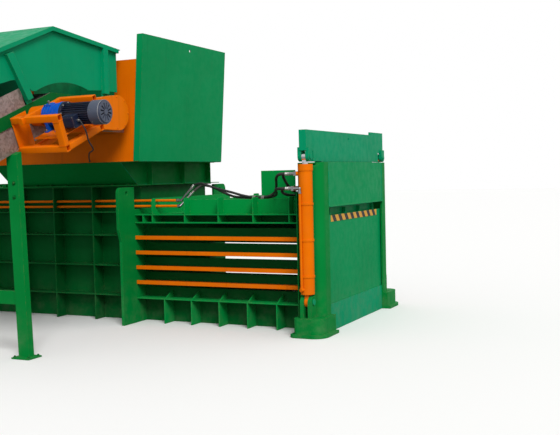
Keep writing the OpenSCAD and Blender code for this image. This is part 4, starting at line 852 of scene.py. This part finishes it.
def hose_ends():
    """A nut and a sleeve with four crimps at each end of the hoses."""
    nut = [(0.0135, -0.016), (0.0175, -0.015), (0.0175, -0.001), (0.0135, 0.0)]
    sleeve = [(0.0125, 0.0), (0.0148, 0.001)]
    crimp_start, crimp_pitch = 0.003, 0.006
    for k in range(4):
        start = crimp_start + crimp_pitch * k
        sleeve += [(0.0158, start), (0.0158, start + 0.0035), (0.0147, start + 0.0045)]
    sleeve += [(0.0150, 0.029), (0.0128, 0.031)]
    bm = bmesh.new()
    for points in HOSE_ROUTES.values():
        for first, second in (points[:2], points[:-3:-1]):
            start = Vector(first) / 1000
            way = (Vector(second) / 1000 - start).normalized()
            place = Matrix.Translation(start) @ turned(way)
            lathe(bm, place, nut, 6)
            lathe(bm, place, sleeve, 20)
    piece("hose_ends", FITTING, bm, True)


def spiral_guards():
    """Flat band wound round the hoses near the tower.

    wound says where on each route the band starts and stops, as shares of it.
    """
    pitch, steps_a_turn = 0.019, 12
    band = ((0.0119, -0.0055), (0.0136, -0.0048), (0.0136, 0.0048), (0.0119, 0.0055))
    wound = ((UPPER, 0.70, 0.93), (LOWER, 0.70, 0.93), (CROSS_UPPER, 0.16, 0.52), (CROSS_LOWER, 0.16, 0.52))
    bm = bmesh.new()
    for points, start, stop in wound:
        line = route(points, 12)
        span = line[int(start * len(line)):int(stop * len(line))]
        turns = line_length(span) / pitch
        count = int(turns * steps_a_turn)
        rows = []
        for i in range(count + 1):
            f = i / count * (len(span) - 1)
            k = min(int(f), len(span) - 2)
            q = span[k].lerp(span[k + 1], f - k)
            t = (span[k + 1] - span[k]).normalized()
            side = t.cross(Vector((0.1, 0.2, 1))).normalized()
            up = side.cross(t)
            w = 2 * math.pi * turns * i / count
            out = side * math.cos(w) + up * math.sin(w)
            rows.append([bm.verts.new(q + out * r + t * h) for r, h in band])
        loft(bm, rows)
    piece("spiral_guards", HOSE, bm, True)


# Places of the saddle clamps along the front roof beam.
SADDLE_PLACES = (1.298, 1.392)


def hose_saddles():
    """Saddle clamps that hold the two long hoses on the front roof beam."""
    half_width, thick = 0.016, 0.003
    outline = [(-0.7155, 1.2305), (-0.6985, 1.2305), (-0.6965, 1.243), (-0.692, 1.2545), (-0.682, 1.2585),
               (-0.666, 1.2585), (-0.650, 1.2585), (-0.640, 1.2545), (-0.6355, 1.243), (-0.6335, 1.2305),
               (-0.6165, 1.2305)]
    bm = bmesh.new()
    for x in SADDLE_PLACES:
        folded_plate(bm, outline, (x - half_width, x + half_width), (0.0, thick))
    piece("hose_saddles", BOLT, bm)


def saddle_bolts():
    """A bolt through each ear of the saddle clamps."""
    ears, ear_top, size = (-0.7075, -0.6245), 1.2335, 0.006
    bm = bmesh.new()
    for x, y in grid(SADDLE_PLACES, ears):
        bolt(bm, (x, y, ear_top), (0, 0, 1), size)
    piece("saddle_bolts", BOLT, bm)


def frame_bolts():
    """Painted bolts of the hopper's neck and of the conveyor's leg."""
    neck_start, neck_pitch, neck_sides, neck_top = -1.44, 0.195, (-0.787, 0.805), 1.388
    post_face, post_places = -2.640, grid((0.104, -1.130), (1.438, 1.325))
    feet, foot_top, foot_places = (-1.167, 0.141), 0.012, grid((-0.072, 0.072), (-2.668, -2.552))
    large, small = 0.013, 0.011
    bm = bmesh.new()
    # the neck's lower flange on the feed box
    for i, y in grid(range(8), neck_sides):
        bolt(bm, (neck_start + neck_pitch * i, y, neck_top), (0, 0, 1), large)
    # two near the top of each post of the leg, and four in each foot plate
    for x, z in post_places:
        bolt(bm, (x, post_face, z), (0, -1, 0), large)
    for x in feet:
        for dx, y in foot_places:
            bolt(bm, (x + dx, y, foot_top), (0, 0, 1), small)
    # the bolts take the darkest green, painted shade
    piece("frame_bolts", GREEN_DEEP_SHADE, bm)


def cylinder_bolts():
    """Bolts round the main cylinder's flange on the tail plate, and round its gland inside."""
    axis_z = 0.668
    flange_x, flange_r, flange_bolt = -3.630, 0.183, 0.016
    gland_x, gland_r, gland_bolt = -1.7005, 0.119, 0.008
    bm = bmesh.new()
    for c, q in circle(1.0, 12, math.radians(15)):
        bolt(bm, (flange_x, flange_r * c, axis_z + flange_r * q), (-1, 0, 0), flange_bolt)
        bolt(bm, (gland_x, gland_r * c, axis_z + gland_r * q), (1, 0, 0), gland_bolt, False)
    piece("cylinder_bolts", BOLT, bm)


def weld_beads():
    """Seams of the tower, the side walls, the hopper and its neck, a piece for each paint."""
    fine = 0.0035
    post_x, post_y, post_low, post_high = 2.0955, 0.75, 1.155, 1.555
    wall_x, wall_y, wall_low, wall_high = -0.0165, 0.652, 0.27, 1.37
    front_y, front_foot, end_x, end_foot = -1.0595, 1.621, 0.2595, 1.6205
    corner_foot, corner_top = (0.1895, front_y, 1.622), (0.2579, front_y, 2.598)
    neck_x, neck_low, neck_high, neck_foot_x, neck_foot = 0.0115, 1.392, 1.610, 0.0135, 1.3895
    green, low, orange = bmesh.new(), bmesh.new(), bmesh.new()
    # tower posts on the end plate, side walls on the portal plate
    for side in (-1, 1):
        bead(green, (post_x, side * post_y, post_low), (post_x, side * post_y, post_high))
        bead(low, (wall_x, side * wall_y, wall_low), (wall_x, side * wall_y, wall_high))
    # hopper: the corner between front and end, then along the bottom of both
    bead(orange, corner_foot, corner_top, fine)
    bead(green, (end_x, -1.05, end_foot), (end_x, 0.55, end_foot), fine)
    bead(orange, (-1.55, front_y, front_foot), (0.24, front_y, front_foot), fine)
    # neck: its two corners on the gate side, then its foot between them
    bead(green, (neck_x, -0.750, neck_low), (neck_x, -1.028, neck_high), fine)
    bead(green, (neck_x, 0.738, neck_low), (neck_x, 0.738, neck_high), fine)
    bead(green, (neck_foot_x, -0.74, neck_foot), (neck_foot_x, 0.73, neck_foot), fine)
    piece("weld_beads_green", GREEN, green, True)
    # the side walls' seams take the darkest green, painted shade
    piece("weld_beads_deep_shade", GREEN_DEEP_SHADE, low, True)
    piece("weld_beads_orange", ORANGE, orange, True)


gearbox_castings()
drive_bolts()
motor_box_lid()
motor_screws()
cowl_ring()
guard_bolts()
drive_frame()
drive_frame_welds()
hopper_end_wall()
hopper_lip()
hose_ends()
spiral_guards()
hose_saddles()
saddle_bolts()
frame_bolts()
cylinder_bolts()
weld_beads()

# The stage. The floor throws back less light on the machine than the camera sees of it, and the
# sky is plain white to the camera.
FLOOR_HALF, FLOOR_Z = 60.0, -0.001
FLOOR_BOUNCE = (0.24, 0.24, 0.24, 1)
FLOOR_SEEN = (0.89, 0.89, 0.88, 1)
SKY_LIGHT, SKY_SEEN = 0.68, 1.0
KEY_POWER, KEY_SPREAD = 2.2, 25
KEY_WAY = (-0.62, 0.70, -0.80)


def make_floor():
    """A wide plain floor under the machine."""
    s = FLOOR_HALF
    mesh = bpy.data.meshes.new("floor")
    mesh.from_pydata([(-s, -s, 0), (s, -s, 0), (s, s, 0), (-s, s, 0)], [], [(0, 1, 2, 3)])
    floor = bpy.data.objects.new("floor", mesh)
    floor.location = (0, 0, FLOOR_Z)
    bpy.context.scene.collection.objects.link(floor)
    mat = bpy.data.materials.new("floor")
    mat.use_nodes = True
    tree = mat.node_tree
    shader = tree.nodes["Principled BSDF"]
    shader.inputs["Roughness"].default_value = 0.9
    path = tree.nodes.new("ShaderNodeLightPath")
    shade = tree.nodes.new("ShaderNodeMix")
    shade.data_type = "RGBA"
    shade.inputs[MIX_A].default_value = FLOOR_BOUNCE
    shade.inputs[MIX_B].default_value = FLOOR_SEEN
    tree.links.new(path.outputs["Is Camera Ray"], shade.inputs["Factor"])
    tree.links.new(shade.outputs[MIX_RESULT], shader.inputs["Base Color"])
    mesh.materials.append(mat)


def make_sky():
    """Even white light from all sides."""
    world = bpy.data.worlds.new("studio")
    world.use_nodes = True
    bpy.context.scene.world = world
    tree = world.node_tree
    tree.nodes.clear()
    path = tree.nodes.new("ShaderNodeLightPath")
    mix = tree.nodes.new("ShaderNodeMixShader")
    tree.links.new(path.outputs["Is Camera Ray"], mix.inputs[0])
    for socket, strength in ((mix.inputs[1], SKY_LIGHT), (mix.inputs[2], SKY_SEEN)):
        glow = tree.nodes.new("ShaderNodeBackground")
        glow.inputs["Color"].default_value = (1.0, 1.0, 1.0, 1)
        glow.inputs["Strength"].default_value = strength
        tree.links.new(glow.outputs[0], socket)
    out = tree.nodes.new("ShaderNodeOutputWorld")
    tree.links.new(mix.outputs[0], out.inputs[0])


def make_key():
    """One wide soft light from above, on the camera's side."""
    lamp = bpy.data.lights.new("key", "SUN")
    lamp.energy = KEY_POWER
    lamp.angle = math.radians(KEY_SPREAD)
    key = bpy.data.objects.new("key", lamp)
    key.rotation_euler = Vector(KEY_WAY).to_track_quat("-Z", "Y").to_euler()
    bpy.context.scene.collection.objects.link(key)


make_floor()
make_sky()
make_key()
bpy.context.scene.view_settings.view_transform = "Standard"
